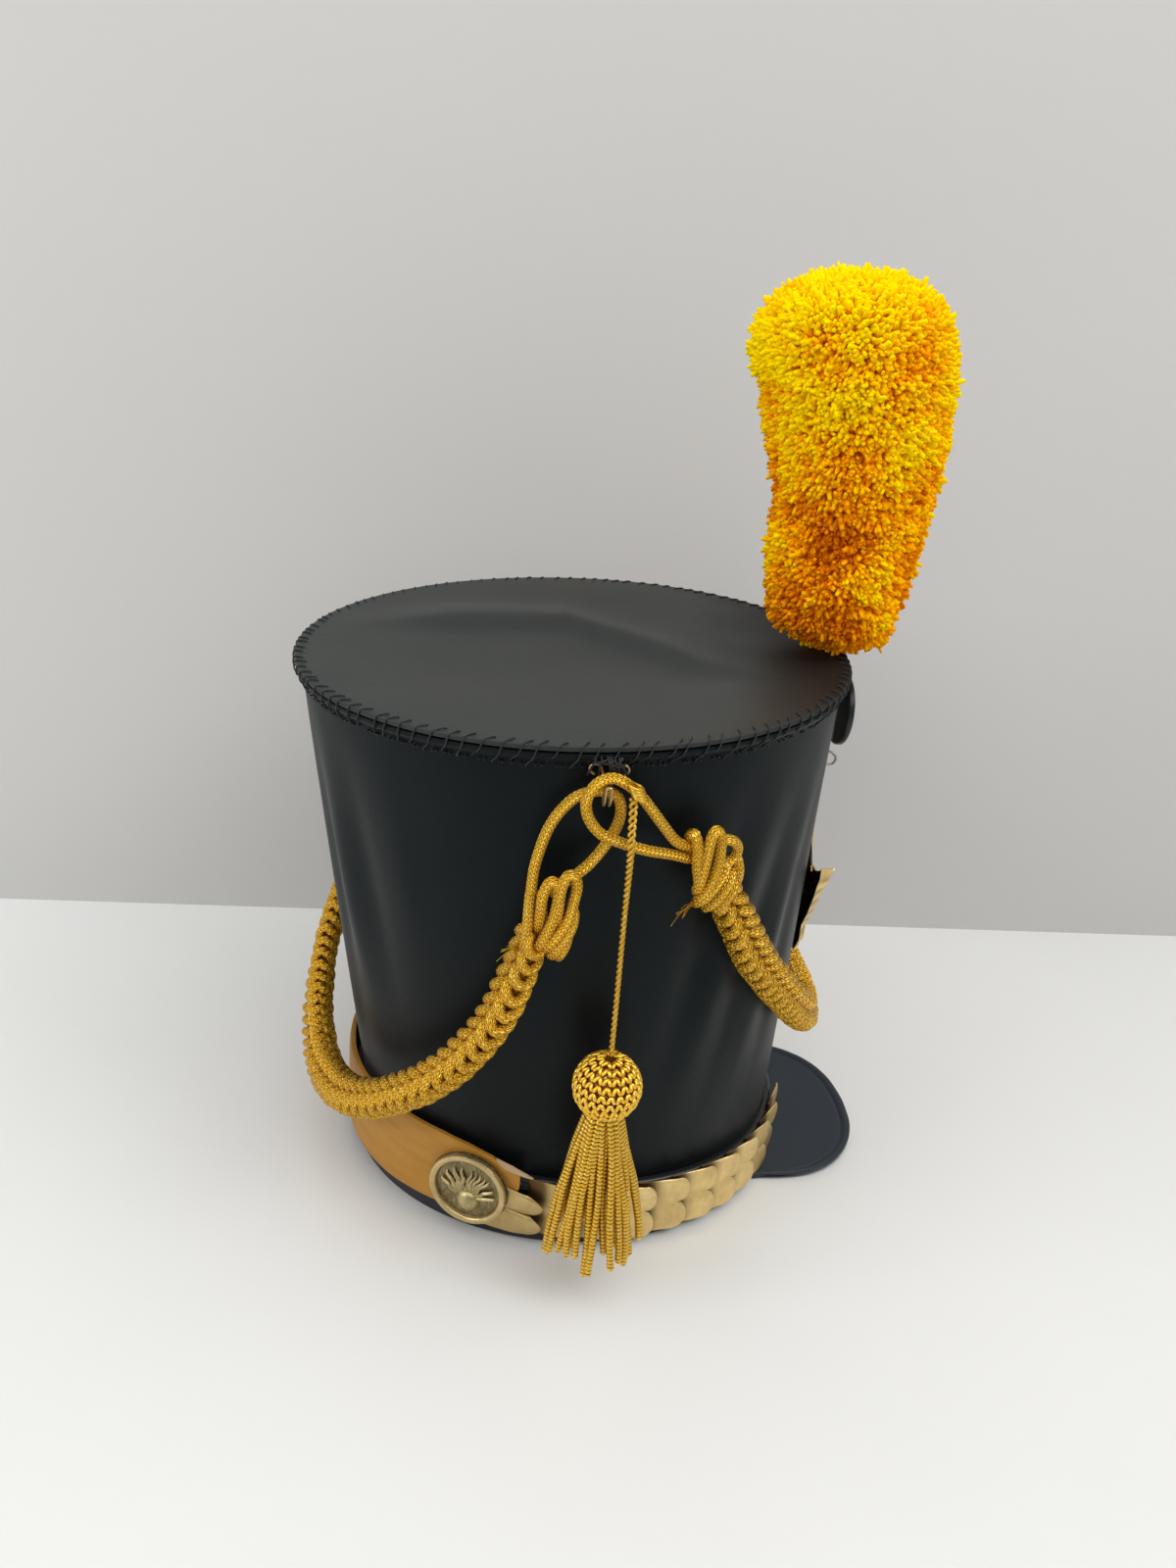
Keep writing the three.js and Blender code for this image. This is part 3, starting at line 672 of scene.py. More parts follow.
def face_out(piece, doubled=1e-6):
    """Joins points nearer than doubled, in metres, and turns every face outwards."""
    edit_whole(piece)
    bpy.ops.mesh.remove_doubles(threshold=doubled)
    bpy.ops.mesh.normals_make_consistent(inside=False)
    bpy.ops.object.mode_set(mode="OBJECT")


def face_along(piece, index, axis):
    """Turns an open sheet over where that face of it looks back along the axis."""
    if piece.data.polygons[index].normal[axis] < 0:
        piece.data.flip_normals()


def smooth(piece, degrees=40):
    select_only(piece)
    bpy.ops.object.shade_smooth_by_angle(angle=math.radians(degrees))


def add_tone(mesh, tones):
    """A shade for each point, which its finish reads."""
    mesh.attributes.new("tone", "FLOAT", "POINT").data.foreach_set("value", tones)


def turned(*axes):
    """The turn that lays X, Y and Z along the three axes."""
    return Matrix(axes).transposed().to_4x4()


def reshape(piece, place):
    """Moves every point of the mesh to place(point), points in mm of the hat."""
    for vertex in piece.data.vertices:
        x, y, z = vertex.co / MM
        vertex.co = placed(place(x, y, z))
    piece.data.update()


def belongs(piece, slot, *nodes):
    """The piece rides on the hat and stands for the CAD nodes, which it hides; slot is not used.
    """
    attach(piece, "root")
    if nodes:
        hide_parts(*nodes)
    return piece


def twin(piece, name):
    """A mirrored copy of a piece for the wearer's left, with its own mesh."""
    other = piece.copy()
    other.data = piece.data.copy()
    other.name = name
    other.data.name = name
    other.data.transform(Matrix.Diagonal((-1, 1, 1, 1)))
    other.data.flip_normals()
    bpy.context.collection.objects.link(other)
    return other


def ring_tube(rows, count):
    """An open tube raised ring by ring from a circle: rows of half x, half y, centre y, z."""
    clear_selection()
    bpy.ops.mesh.primitive_circle_add(vertices=count, radius=1.0)
    bpy.ops.object.mode_set(mode="EDIT")
    half_x, half_y, centre, z = rows[0]
    bpy.ops.transform.resize(value=(half_x * MM, half_y * MM, 1), center_override=(0, 0, 0))
    bpy.ops.transform.translate(value=(0, centre * MM, z * MM))
    for before, row in zip(rows, rows[1:]):
        rise = (0, (row[2] - before[2]) * MM, (row[3] - before[3]) * MM)
        bpy.ops.mesh.extrude_region_move(TRANSFORM_OT_translate={"value": rise})
        grow = (row[0] / before[0], row[1] / before[1], 1)
        bpy.ops.transform.resize(value=grow, center_override=(0, row[2] * MM, row[3] * MM))
    bpy.ops.object.mode_set(mode="OBJECT")
    return bpy.context.object


def plain_grid(columns, rows):
    """A flat grid from 0 to 1 each way, in mm."""
    clear_selection()
    bpy.ops.mesh.primitive_grid_add(
        x_subdivisions=columns, y_subdivisions=rows, size=1.0, location=(0.5, 0.5, 0)
    )
    bpy.ops.object.transform_apply(location=True, rotation=True, scale=True)
    piece = bpy.context.object
    piece.data.transform(Matrix.Diagonal((MM, MM, MM, 1)))
    return piece


def catmull(points, parts=10):
    """A smooth line through the points."""
    points = [Vector(p) for p in points]
    ends = [2 * points[0] - points[1], *points, 2 * points[-1] - points[-2]]
    line = []
    for a, b, c, d in zip(ends, ends[1:], ends[2:], ends[3:]):
        for k in range(parts):
            t = k / parts
            line.append(
                0.5 * (2 * b + (c - a) * t + (2 * a - 5 * b + 4 * c - d) * t**2
                       + (3 * b - a - 3 * c + d) * t**3)
            )
    line.append(points[-1])
    return line


class Route:
    """A line in mm with its length, and its place and heading at a distance along it."""

    def __init__(self, points):
        self.line = catmull(points)
        self.far = [0.0]
        for a, b in zip(self.line, self.line[1:]):
            self.far.append(self.far[-1] + (b - a).length)
        self.length = self.far[-1]

    def at(self, distance):
        held = min(max(distance, 0.0), self.length)
        low, high = 0, len(self.far) - 1
        while high - low > 1:
            middle = (low + high) // 2
            if self.far[middle] <= held:
                low = middle
            else:
                high = middle
        part = (held - self.far[low]) / max(1e-9, self.far[high] - self.far[low])
        heading = self.heading(low, part)
        return self.line[low].lerp(self.line[high], part) + heading * (distance - held), heading

    def heading(self, low, part):
        def slope(i):
            i = min(max(i, 1), len(self.line) - 2)
            return (self.line[i + 1] - self.line[i - 1]).normalized()

        return slope(low).lerp(slope(low + 1), part).normalized()

    def spaced(self, step):
        count = max(2, round(self.length / step))
        return [self.at(self.length * i / count)[0] for i in range(count + 1)]


def new_piece(name, finish_name, verts, faces, tones, uvs=()):
    """A smooth piece of the given points, faces and shades."""
    mesh = bpy.data.meshes.new(name)
    mesh.from_pydata(verts, [], faces)
    if uvs:
        mesh.uv_layers.new(name="UVMap").data.foreach_set("uv", [c for uv in uvs for c in uv])
    add_tone(mesh, tones)
    mesh.polygons.foreach_set("use_smooth", [True] * len(faces))
    mesh.materials.append(finish(finish_name))
    piece = bpy.data.objects.new(name, mesh)
    bpy.context.collection.objects.link(piece)
    return piece


def sweep(name, finish_name, runs, sides):
    """One mesh of round tubes. Each run has points in mm, a radius or one for each point,
    and may have a tone for each point, which darkens its finish toward 0."""
    verts, faces, uvs, shades = [], [], [], []
    for run in runs:
        points = [Vector(p) for p in run["points"]]
        count = len(points)
        radii = run["radius"]
        if not isinstance(radii, (list, tuple)):
            radii = [radii] * count
        tone = run.get("tone", [1.0] * count)
        far = 0.0
        side = Vector((0.3, 0.9, 0.31))  # any way that no route runs along
        first = len(verts)
        lengths = []
        for i, point in enumerate(points):
            heading = (points[min(i + 1, count - 1)] - points[max(i - 1, 0)]).normalized()
            side = (side - heading * side.dot(heading)).normalized()
            other = heading.cross(side)
            if i:
                far += (point - points[i - 1]).length
            lengths.append(far / (2 * max(radii)))
            for k in range(sides):
                angle = 2 * math.pi * k / sides
                out = side * math.cos(angle) + other * math.sin(angle)
                verts.append(placed(point + out * radii[i]))
                shades.append(tone[i])
        for i in range(count - 1):
            for k in range(sides):
                a = first + i * sides + k
                b = first + i * sides + (k + 1) % sides
                faces.append((a, b, b + sides, a + sides))
                u, w = k / sides, (k + 1) / sides
                low, high = lengths[i], lengths[i + 1]
                uvs += [(u, low), (w, low), (w, high), (u, high)]
        for i, ends in ((0, range(sides - 1, -1, -1)), (count - 1, range(sides))):
            faces.append(tuple(first + i * sides + k for k in ends))
            uvs += [(0.0, lengths[i])] * sides
    return new_piece(name, finish_name, verts, faces, shades, uvs)


def rounded(radius, count, turn):
    """Radii of a tube of count points, the last few at each end rounded off."""
    radii = [radius] * count
    for k in range(turn):
        small = radius * math.sin(math.pi / 2 * (k + 0.35) / turn)
        radii[k] = min(radii[k], small)
        radii[count - 1 - k] = min(radii[count - 1 - k], small)
    return radii


# ---- the hat's form ----


def crown_plane(y):
    """Height of the sloping plane the crown lies in."""
    return CROWN_Z - CROWN_SLOPE * (y - CROWN_Y)


def on_oval(degrees, half_x, half_y, z, centre=0.0):
    """A point on an upright oval; the angle runs from the front to the wearer's right."""
    a = math.radians(degrees)
    return Vector((-half_x * math.sin(a), centre - half_y * math.cos(a), z))


def wall_sizes(t):
    """Half widths and centre of the body at part t of the way up the flare."""
    bow = 4 * t * (1 - t)
    half_x = mix(BASE_X, WALL_TOP_RADIUS, t) + 0.5 * bow
    half_y = mix(BASE_Y, WALL_TOP_RADIUS, t) + bow
    return half_x, half_y, CROWN_Y * t + 0.8 * bow


def wall_top(degrees):
    """Height of the wall's top edge, just under the crown."""
    return crown_plane(CROWN_Y - WALL_TOP_RADIUS * math.cos(math.radians(degrees))) - 1.3


# Soft folds in the leather: middle in degrees, lean up the wall, width in degrees, depth,
# height of the middle, and how far up and down it runs.
FOLDS = [
    (158, 8, 4.5, 1.0, 0.62, 0.36),
    (149, 10, 4.0, -0.7, 0.66, 0.34),
    (139, 12, 4.5, 0.8, 0.72, 0.30),
    (171, 4, 5.0, 1.0, 0.55, 0.4),
    (128, 8, 4.0, -0.4, 0.8, 0.24),
    (66, -22, 3.6, 0.75, 0.62, 0.32),
    (58, -24, 3.2, -0.55, 0.60, 0.34),
    (50, -24, 3.4, 0.7, 0.56, 0.34),
    (41, -22, 3.0, -0.5, 0.52, 0.34),
    (33, -18, 3.6, 0.6, 0.5, 0.36),
    (205, -6, 6.0, 0.9, 0.5, 0.36),
    (228, -9, 5.0, -0.6, 0.6, 0.3),
    (250, 8, 5.0, 0.7, 0.65, 0.3),
    (285, 14, 4.0, 0.7, 0.55, 0.34),
    (298, 16, 4.0, -0.5, 0.6, 0.3),
    (318, 18, 4.5, 0.6, 0.5, 0.36),
]


def fold(degrees, t):
    """How far the leather is pressed in at this place, as a part of the fold depth."""
    depth = 0.0
    for angle, lean, width, deep, middle, reach in FOLDS:
        across = ((degrees - angle - lean * (t - 0.5) + 180) % 360 - 180) / width
        if abs(across) < 3:
            depth += deep * math.exp(-across * across) * math.exp(-(((t - middle) / reach) ** 2))
    fade = math.sin(math.pi * min(1.0, t * 1.05) ** 0.9) if t < 0.95 else 0.0
    return depth * max(0.0, fade)


def outward(point, centre_y):
    """The level way out of the hat at a point."""
    return Vector((point[0], point[1] - centre_y, 0)).normalized()


# ---- body, crown, band, peak and strap ----


def build_body():
    """The flared wall with its turned-out lip and soft folds."""
    rows = [(BASE_X, BASE_Y, 0.0, z) for z in (0.0, 1.0, 12.0, 26.0, 38.0)]
    steps = 66
    for k in range(steps + 1):
        t = 0.9797 * k / steps
        rows.append((*wall_sizes(t), mix(FLARE_Z, CROWN_Z, t)))
    for t, lip in ((0.9845, 1.3), (0.9885, 2.4), (0.992, LIP), (1.0, LIP)):
        half_x, half_y, centre = wall_sizes(t)
        rows.append((half_x + lip, half_y + lip, centre, mix(FLARE_Z, CROWN_Z, t)))
    piece = ring_tube(rows, 288)
    named("body", "body_leather")
    depth = sizes().fold_depth / MM

    def settle(x, y, z):
        if z <= FLARE_Z:
            return x, y, z
        t = (z - FLARE_Z) / (CROWN_Z - FLARE_Z)
        half_x, half_y, centre = wall_sizes(t)
        degrees = math.degrees(math.atan2(-x / half_x, -(y - centre) / half_y)) % 360
        dent = depth * fold(degrees, t)
        broad = 0.5 * noise.noise(Vector((x * 0.02, y * 0.02, z * 0.014)))
        way = outward((x, y), centre)
        in_by = dent + broad * math.sin(math.pi * min(t, 0.97))
        low = mix(FLARE_Z, wall_top(degrees) - 0.5, t)
        return x - way.x * in_by, y - way.y * in_by, low

    reshape(piece, settle)
    face_out(piece)
    thicken(piece, sizes().leather)
    ease_edges(piece, 0.0005, 2, 50)
    smooth(piece)
    return belongs(piece, "black_leather", "shell")


def crown_height(x, y):
    """The top sheet's sag, with the soft ridge and the dent beside it; x, y from its middle."""
    r = min(1.0, math.hypot(x, y) / CROWN_RADIUS)
    sag = 5.4 * (1 - r * r) ** 1.5
    # The ridge runs from the back of the top, bends, and dies out behind the plume.
    if y > 0:
        line = 47 - 0.0021 * (y - 12) ** 2
    else:
        line = 46.5 + 1.05 * y
    across = (x - line) / (20 if x > line else 11)
    ends = math.exp(-(((y - 8) / 72) ** 4))
    ridge = 4.6 * math.exp(-across * across) * ends
    dent = 2.6 * math.exp(-(((x + 22) / 26) ** 2) - (((y + 52) / 15) ** 2))
    swell = 2.0 * math.exp(-(((x + 4) / 24) ** 2) - (((y + 78) / 13) ** 2))
    wave = 1.0 * noise.noise(Vector((x * 0.02, y * 0.02, 3.1)))
    return (ridge - dent + swell + wave) * (1 - r**6) - sag


def build_crown():
    """The round top sheet, raised ring by ring toward its middle."""
    rings = [1.0, 0.996, 0.985, 0.965, 0.94] + [0.9 - 0.03 * k for k in range(30)]
    rows = [(CROWN_RADIUS * r, CROWN_RADIUS * r, CROWN_Y, CROWN_Z) for r in rings if r > 0.02]
    piece = ring_tube(rows, 216)
    named("crown", "crown_leather")
    edit_whole(piece)
    bpy.ops.mesh.select_mode(type="VERT")
    bpy.ops.mesh.select_all(action="DESELECT")
    bpy.ops.object.mode_set(mode="OBJECT")
    inner = rows[-1][0] * 1.02 * MM
    for vertex in piece.data.vertices:
        vertex.select = math.hypot(vertex.co.x, vertex.co.y - CROWN_Y * MM) < inner
    bpy.ops.object.mode_set(mode="EDIT")
    bpy.ops.mesh.edge_face_add()
    bpy.ops.mesh.poke()
    bpy.ops.object.mode_set(mode="OBJECT")

    def settle(x, y, z):
        return x, y, crown_plane(y) + 1.0 + crown_height(x, y - CROWN_Y)

    reshape(piece, settle)
    face_out(piece)
    face_along(piece, len(piece.data.polygons) // 2, 2)
    thicken(piece, sizes().crown_leather)
    ease_edges(piece, 0.0006, 3, 50)
    smooth(piece, 50)
    return belongs(piece, "crown_leather", "crown_top")


THREAD = 0.33  # radius of the sewing thread, in mm
# A whip stitch: part of its lean along, mm inside the crown's edge, mm above its plane.
STITCH = [
    (-1.0, 4.2, -0.6), (-0.9, 3.8, 1.3), (-0.5, 1.6, 1.35), (-0.2, 0.1, 1.0), (-0.1, -0.35, -0.2),
    (0.1, -0.3, -2.2), (0.3, 0.4, -4.0), (0.8, 2.1, -6.0), (1.0, 2.7, -7.2), (1.02, 3.6, -7.5),
]


def build_crown_stitches():
    """Whip stitches over the crown's edge and the body's lip, and short dashes of black thread at
    the bare holes between, painted shade for the holes.
    """
    rng = random.Random(11)
    runs = []
    count = sizes().stitches

    def rim_point(degrees, inside, up):
        a = math.radians(degrees)
        reach = CROWN_RADIUS - inside
        y = CROWN_Y - reach * math.cos(a)
        height = crown_plane(y)
        if inside > 1.0 and up > 0:
            height += crown_height(-reach * math.sin(a), y - CROWN_Y)
        return Vector((-reach * math.sin(a), y, height + up))

    for k in range(count):
        degrees = 360 * (k + rng.uniform(-0.2, 0.2)) / count
        lean = rng.uniform(1.2, 2.1)
        longer = rng.uniform(0.75, 1.15)
        points = [
            rim_point(
                degrees + lean * along,
                inside * (longer if inside > 1.0 and up > 0 else 1.0),
                up * (longer if up < -3 else 1.0),
            )
            for along, inside, up in STITCH
        ]
        runs.append({"points": catmull(points, 2), "radius": THREAD})
        # Painted shade: a short dash of black thread stands for the dark inside of each bare hole.
        for part in (0.35, 0.7):
            hole = degrees + (part + rng.uniform(-0.1, 0.1)) * 360 / count + lean
            runs.append({"points": [rim_point(hole, 3.6, -7.4), rim_point(hole, 2.2, -7.4)],
                         "radius": THREAD})
    piece = sweep("crown_stitches", "black_thread", runs, 5)
    return belongs(piece, "black_leather")


BAND_FOOT, BAND_TOP = 0.8, 34.3
# The band from its foot up over its ridges: how far below its top, and how far it stands out.
BAND_PROFILE = [
    (BAND_TOP - BAND_FOOT, 0.0), (9.0, 0.0), (7.2, 0.0), (6.4, 0.1), (5.8, 0.7), (5.0, 1.15),
    (4.2, 0.9), (3.6, 0.3), (3.2, 0.15), (2.8, 0.4), (2.2, 1.1), (1.4, 1.25), (0.6, 0.9),
    (0.1, 0.2), (0.0, -0.8), (0.0, -1.9),
]


def build_band():
    """The band round the base, with two glossy ridges at its top."""
    rows = []
    for below, rise in BAND_PROFILE:
        out = GAP + BAND + rise
        rows.append((BASE_X + out, BASE_Y + out, 0.0, BAND_TOP - below))
    piece = ring_tube(rows, 240)
    named("base_band_leather", "band_leather")

    def settle(x, y, z):
        return x, y, z + 0.035 * y * max(0.0, (z - BAND_FOOT) / 33.5)

    reshape(piece, settle)
    face_out(piece)
    thicken(piece, 0.0009)
    smooth(piece, 60)
    return belongs(piece, "black_leather", "base_band")


PEAK_SPREAD, PEAK_SKEW = 34.0, -3.0  # half the angle it spans, and its turn
# Its outline: degrees from the peak's middle, and mm from the hat's middle.
PEAK_OUTLINE = [
    (0, 150), (8, 149.3), (13, 147), (17, 143.5), (21, 138.5), (25, 131), (28.5, 121.5),
    (31.5, 110), (34, 101),
]


def soft_table(table, where, spread):
    """The table's value, averaged a little each way, so that its corners are round."""
    offsets = (-1.0, -0.5, 0.0, 0.5, 1.0)
    return sum(from_table(table, abs(where + spread * o)) for o in offsets) / len(offsets)


def build_peak():
    """The flat leather peak with an embossed line inside its edge."""
    columns, rows = 72, 36
    piece = plain_grid(columns, rows)
    named("peak_leather_plate", "peak_leather")

    def settle(u, v, z):
        turn = mix(-PEAK_SPREAD, PEAK_SPREAD, u)
        inner = on_oval(turn + PEAK_SKEW, BASE_X + BAND + 0.6, BASE_Y + BAND + 0.6, 0)
        near = math.hypot(inner.x, inner.y)
        far = soft_table(PEAK_OUTLINE, turn, 1.6)
        part = 1 - (1 - v) ** 1.7
        radius = mix(near, far, part)
        lift = 3.2 * part * part * (1 - (turn / PEAK_SPREAD) ** 2)
        edge = min(far - radius, (1 - abs(turn) / PEAK_SPREAD) * 58)
        groove = 0.55 * math.exp(-(((edge - 4.6) / 0.8) ** 2))
        crown_rise = 0.5 * math.exp(-(((edge - 2.2) / 1.6) ** 2))
        level = 3.0 + lift - groove + crown_rise - 0.4 * (edge < 0.3)
        heading = math.atan2(-inner.x, -inner.y)
        return -radius * math.sin(heading), -radius * math.cos(heading), level

    reshape(piece, settle)
    face_out(piece)
    face_along(piece, 0, 2)
    thicken(piece, 0.0024)
    ease_edges(piece, 0.0005, 2, 55)
    smooth(piece, 45)
    return belongs(piece, "peak_leather", "peak")


STRAP_X, STRAP_Y, STRAP_THICK = 91.0, 103.8, 2.5
STRAP_START, STRAP_END = 104, 256  # degrees round from the front
# The strap's lower and upper edge: degrees from the front, and height.
STRAP_LOW = [(104, 31), (108, 13), (116, 11.3), (125, 11), (140, 9.5), (160, 8.5), (180, 8)]
STRAP_HIGH = [
    (98, 33), (102, 36), (106, 40), (111, 44.5), (117, 47.5), (125, 49), (140, 49), (180, 48),
]


def build_strap():
    """The tan strap round the back, and the pale tongue that shows at each of its ends."""
    columns, rows = 150, 12
    piece = plain_grid(columns, rows)
    named("strap", "tan_leather")

    def settle(u, v, z):
        degrees = mix(STRAP_START, STRAP_END, u)
        from_front = 360 - degrees if degrees > 180 else degrees
        low, high = from_table(STRAP_LOW, from_front), from_table(STRAP_HIGH, from_front)
        edge = min(v, 1 - v) * (high - low)
        lift = STRAP_THICK - 0.5 * math.exp(-edge / 0.8)
        lift += 0.25 * noise.noise(Vector((degrees * 0.06, v * 3, 0)))
        return on_oval(degrees, STRAP_X + lift, STRAP_Y + lift, mix(low, high, v))

    reshape(piece, settle)
    face_out(piece)
    face_along(piece, columns * rows // 2, 1)
    thicken(piece, 0.0022)
    ease_edges(piece, 0.0005, 2, 55)
    smooth(piece, 45)
    belongs(piece, "tan_leather", "back_strap")
    tongue = plain_grid(24, 6)
    named("strap_tongue_right", "pale_leather")

    def taper(u, v, z):
        half = 1.5 * min(1.0, (u / 0.55) ** 0.7)
        level = 38.4 + 4.6 * u + half * (2 * v - 1)
        return on_oval(mix(101, 110, u), 92.6 + 1.2 * (1 - u), 105.4, level)

    reshape(tongue, taper)
    face_out(tongue)
    thicken(tongue, 0.0009, 0)
    smooth(tongue)
    belongs(twin(tongue, "strap_tongue_left"), "tan_leather")
    belongs(tongue, "tan_leather")


# ---- chin scales and bosses ----

SCALE_COUNT, SCALE_FIRST, SCALE_PITCH, SCALE_HEIGHT = 11, 98.0, 9.0, 28.5
SCALE_LOW = [(0, 4.6), (75, 4.6), (98, 6.5), (120, 10)]
SCALE_X = BASE_X + GAP + BAND + 1.2
SCALE_Y = BASE_Y + GAP + BAND + 1.2
BOSS_ANGLE, BOSS_Z, BOSS_RADIUS = 115.9, 27.5, 18.0
BOSS_SEAT_X, BOSS_SEAT_Y = 94.6, 107.4

# The first plate's tone, which darkens it evenly, and the others' tone from their hidden end,
# painted dark as shade under the plate before, to their front edge.
FIRST_TONE = 0.72
OVERLAP_SHADE = [(0, 0.2), (0.30, 0.25), (0.45, 0.8), (0.6, 1.0), (0.97, 1.0), (1, 1.2)]


def in_lobe(v):
    """Place across one of a plate's two lobes: 0 at its middle, -1 and 1 at its sides."""
    return 4 * (v if v < 0.5 else v - 0.5) - 1


def scale_plate(number, rng):
    """One lobed plate, gently domed, its front edge standing over the next plate."""
    first = number == 1
    front = SCALE_FIRST - SCALE_PITCH * (number - 1)
    reach = 22.0 if first else 13.0
    height = SCALE_HEIGHT + (1.5 if first else 0.0)
    columns, rows = (30, 40) if first else (16, 40)
    piece = plain_grid(columns, rows)
    named(f"scale_right_{number:02d}", "scale_brass")
    tilt = rng.uniform(-0.5, 0.5)
    bent = rng.uniform(-0.25, 0.35)
    base_x, base_y = (STRAP_X + 2.8, STRAP_Y + 2.8) if first else (SCALE_X, SCALE_Y)

    def settle(u, v, z):
        fan = 5.2 if first else 2.2
        half = in_lobe(v)
        lobe = math.sqrt(max(0.0, 1 - half * half))
        edge = front + fan * (1 - lobe) ** (0.8 if first else 1.0)
        degrees = mix(front + reach, edge, u)
        dome = 1 - abs(half) ** 2.2
        out = (0.4 if first else 3.3) * u**1.4 + 1.3 * dome * u * u + bent * 2 * u * (v - 0.5)
        out -= 0.7 * math.exp(-(((v - 0.5) / 0.05) ** 2)) * u
        out -= math.exp(-(((1 - u) / 0.06) ** 2)) * 0.5
        low = from_table(SCALE_LOW, max(0.0, degrees)) + tilt * u
        swing = 1.0 - 0.16 * u if first else 1.0
        level = low + height / 2 + height * (v - 0.5) * swing - (2.4 + 3.4 * v) * u * first
        return on_oval(degrees, base_x + out, base_y + out, level)

    # Painted shade under the plate before, through the tone; the first plate takes one even tone.
    under = [from_table(OVERLAP_SHADE, vertex.co.x / MM) for vertex in piece.data.vertices]
    add_tone(piece.data, [FIRST_TONE] * len(under) if first else under)
    reshape(piece, settle)
    thicken(piece, 0.0007, 0)
    face_out(piece)
    ease_edges(piece, 0.00018, 1, 55)
    smooth(piece, 45)
    other = twin(piece, f"scale_left_{number:02d}")
    belongs(piece, "scale_brass", f"chin_scale_right_{number:02d}")
    belongs(other, "scale_brass", f"chin_scale_left_{number:02d}")


def build_scales():
    """The chin scales of both sides, from the boss forward."""
    rng = random.Random(5)
    for number in range(1, SCALE_COUNT + 1):
        scale_plate(number, rng)


def spun(profile, steps=72):
    """A turned solid: a profile of (radius, height) in mm, spun round the Z axis."""
    clear_selection()
    bpy.ops.mesh.primitive_plane_add(size=1.0)
    piece = bpy.context.object
    work = bmesh.new()
    points = [work.verts.new((r * MM, 0, z * MM)) for r, z in profile]
    for a, b in zip(points, points[1:]):
        work.edges.new((a, b))
    work.to_mesh(piece.data)
    work.free()
    edit_whole(piece)
    bpy.ops.mesh.spin(steps=steps, angle=2 * math.pi, center=(0, 0, 0), axis=(0, 0, 1))
    bpy.ops.object.mode_set(mode="OBJECT")
    face_out(piece, doubled=2e-6)
    return piece


def joined(pieces, name):
    """The pieces as one object, each keeping its material."""
    clear_selection()
    for piece in pieces:
        piece.select_set(True)
    bpy.context.view_layer.objects.active = pieces[0]
    bpy.ops.object.join()
    pieces[0].name = name
    pieces[0].data.name = name
    return pieces[0]


def relief(points, radii):
    """A tapering raised line of a device, drawn flat in mm about its middle."""
    line = catmull(points, 3)
    thick = [from_table(radii, i / (len(line) - 1)) for i in range(len(line))]
    piece = sweep("relief", "boss_brass", [{"points": line, "radius": thick}], 6)
    piece.data.transform(Matrix.Translation((0, -SHIFT * MM, 0)))
    return piece


# Flames of the device on a boss: foot x, y, then how far it leans and reaches.
FLAMES = [
    (-4.2, 1.0, -9.5, 7.0), (-3.4, 1.8, -7.8, 10.5), (-2.4, 2.2, -4.8, 12.2),
    (-1.2, 2.6, -1.8, 13.2), (0.0, 2.7, 1.6, 12.8), (1.2, 2.6, 4.9, 11.6),
    (2.4, 2.3, 7.8, 9.6), (3.4, 1.8, 10.0, 6.4), (4.2, 0.9, 10.6, 2.8),
    (-0.6, 2.4, -6.4, 12.0), (0.6, 2.4, 3.4, 13.0), (1.8, 2.0, 6.6, 11.0),
]
# A flame's line: part of the way along, how far it swings aside, height.
FLAME_LINE = [
    (0.0, 0.0, 2.1), (0.25, 0.5, 2.7), (0.5, -0.5, 2.8), (0.74, 0.4, 2.5), (0.93, 0.0, 1.8),
]


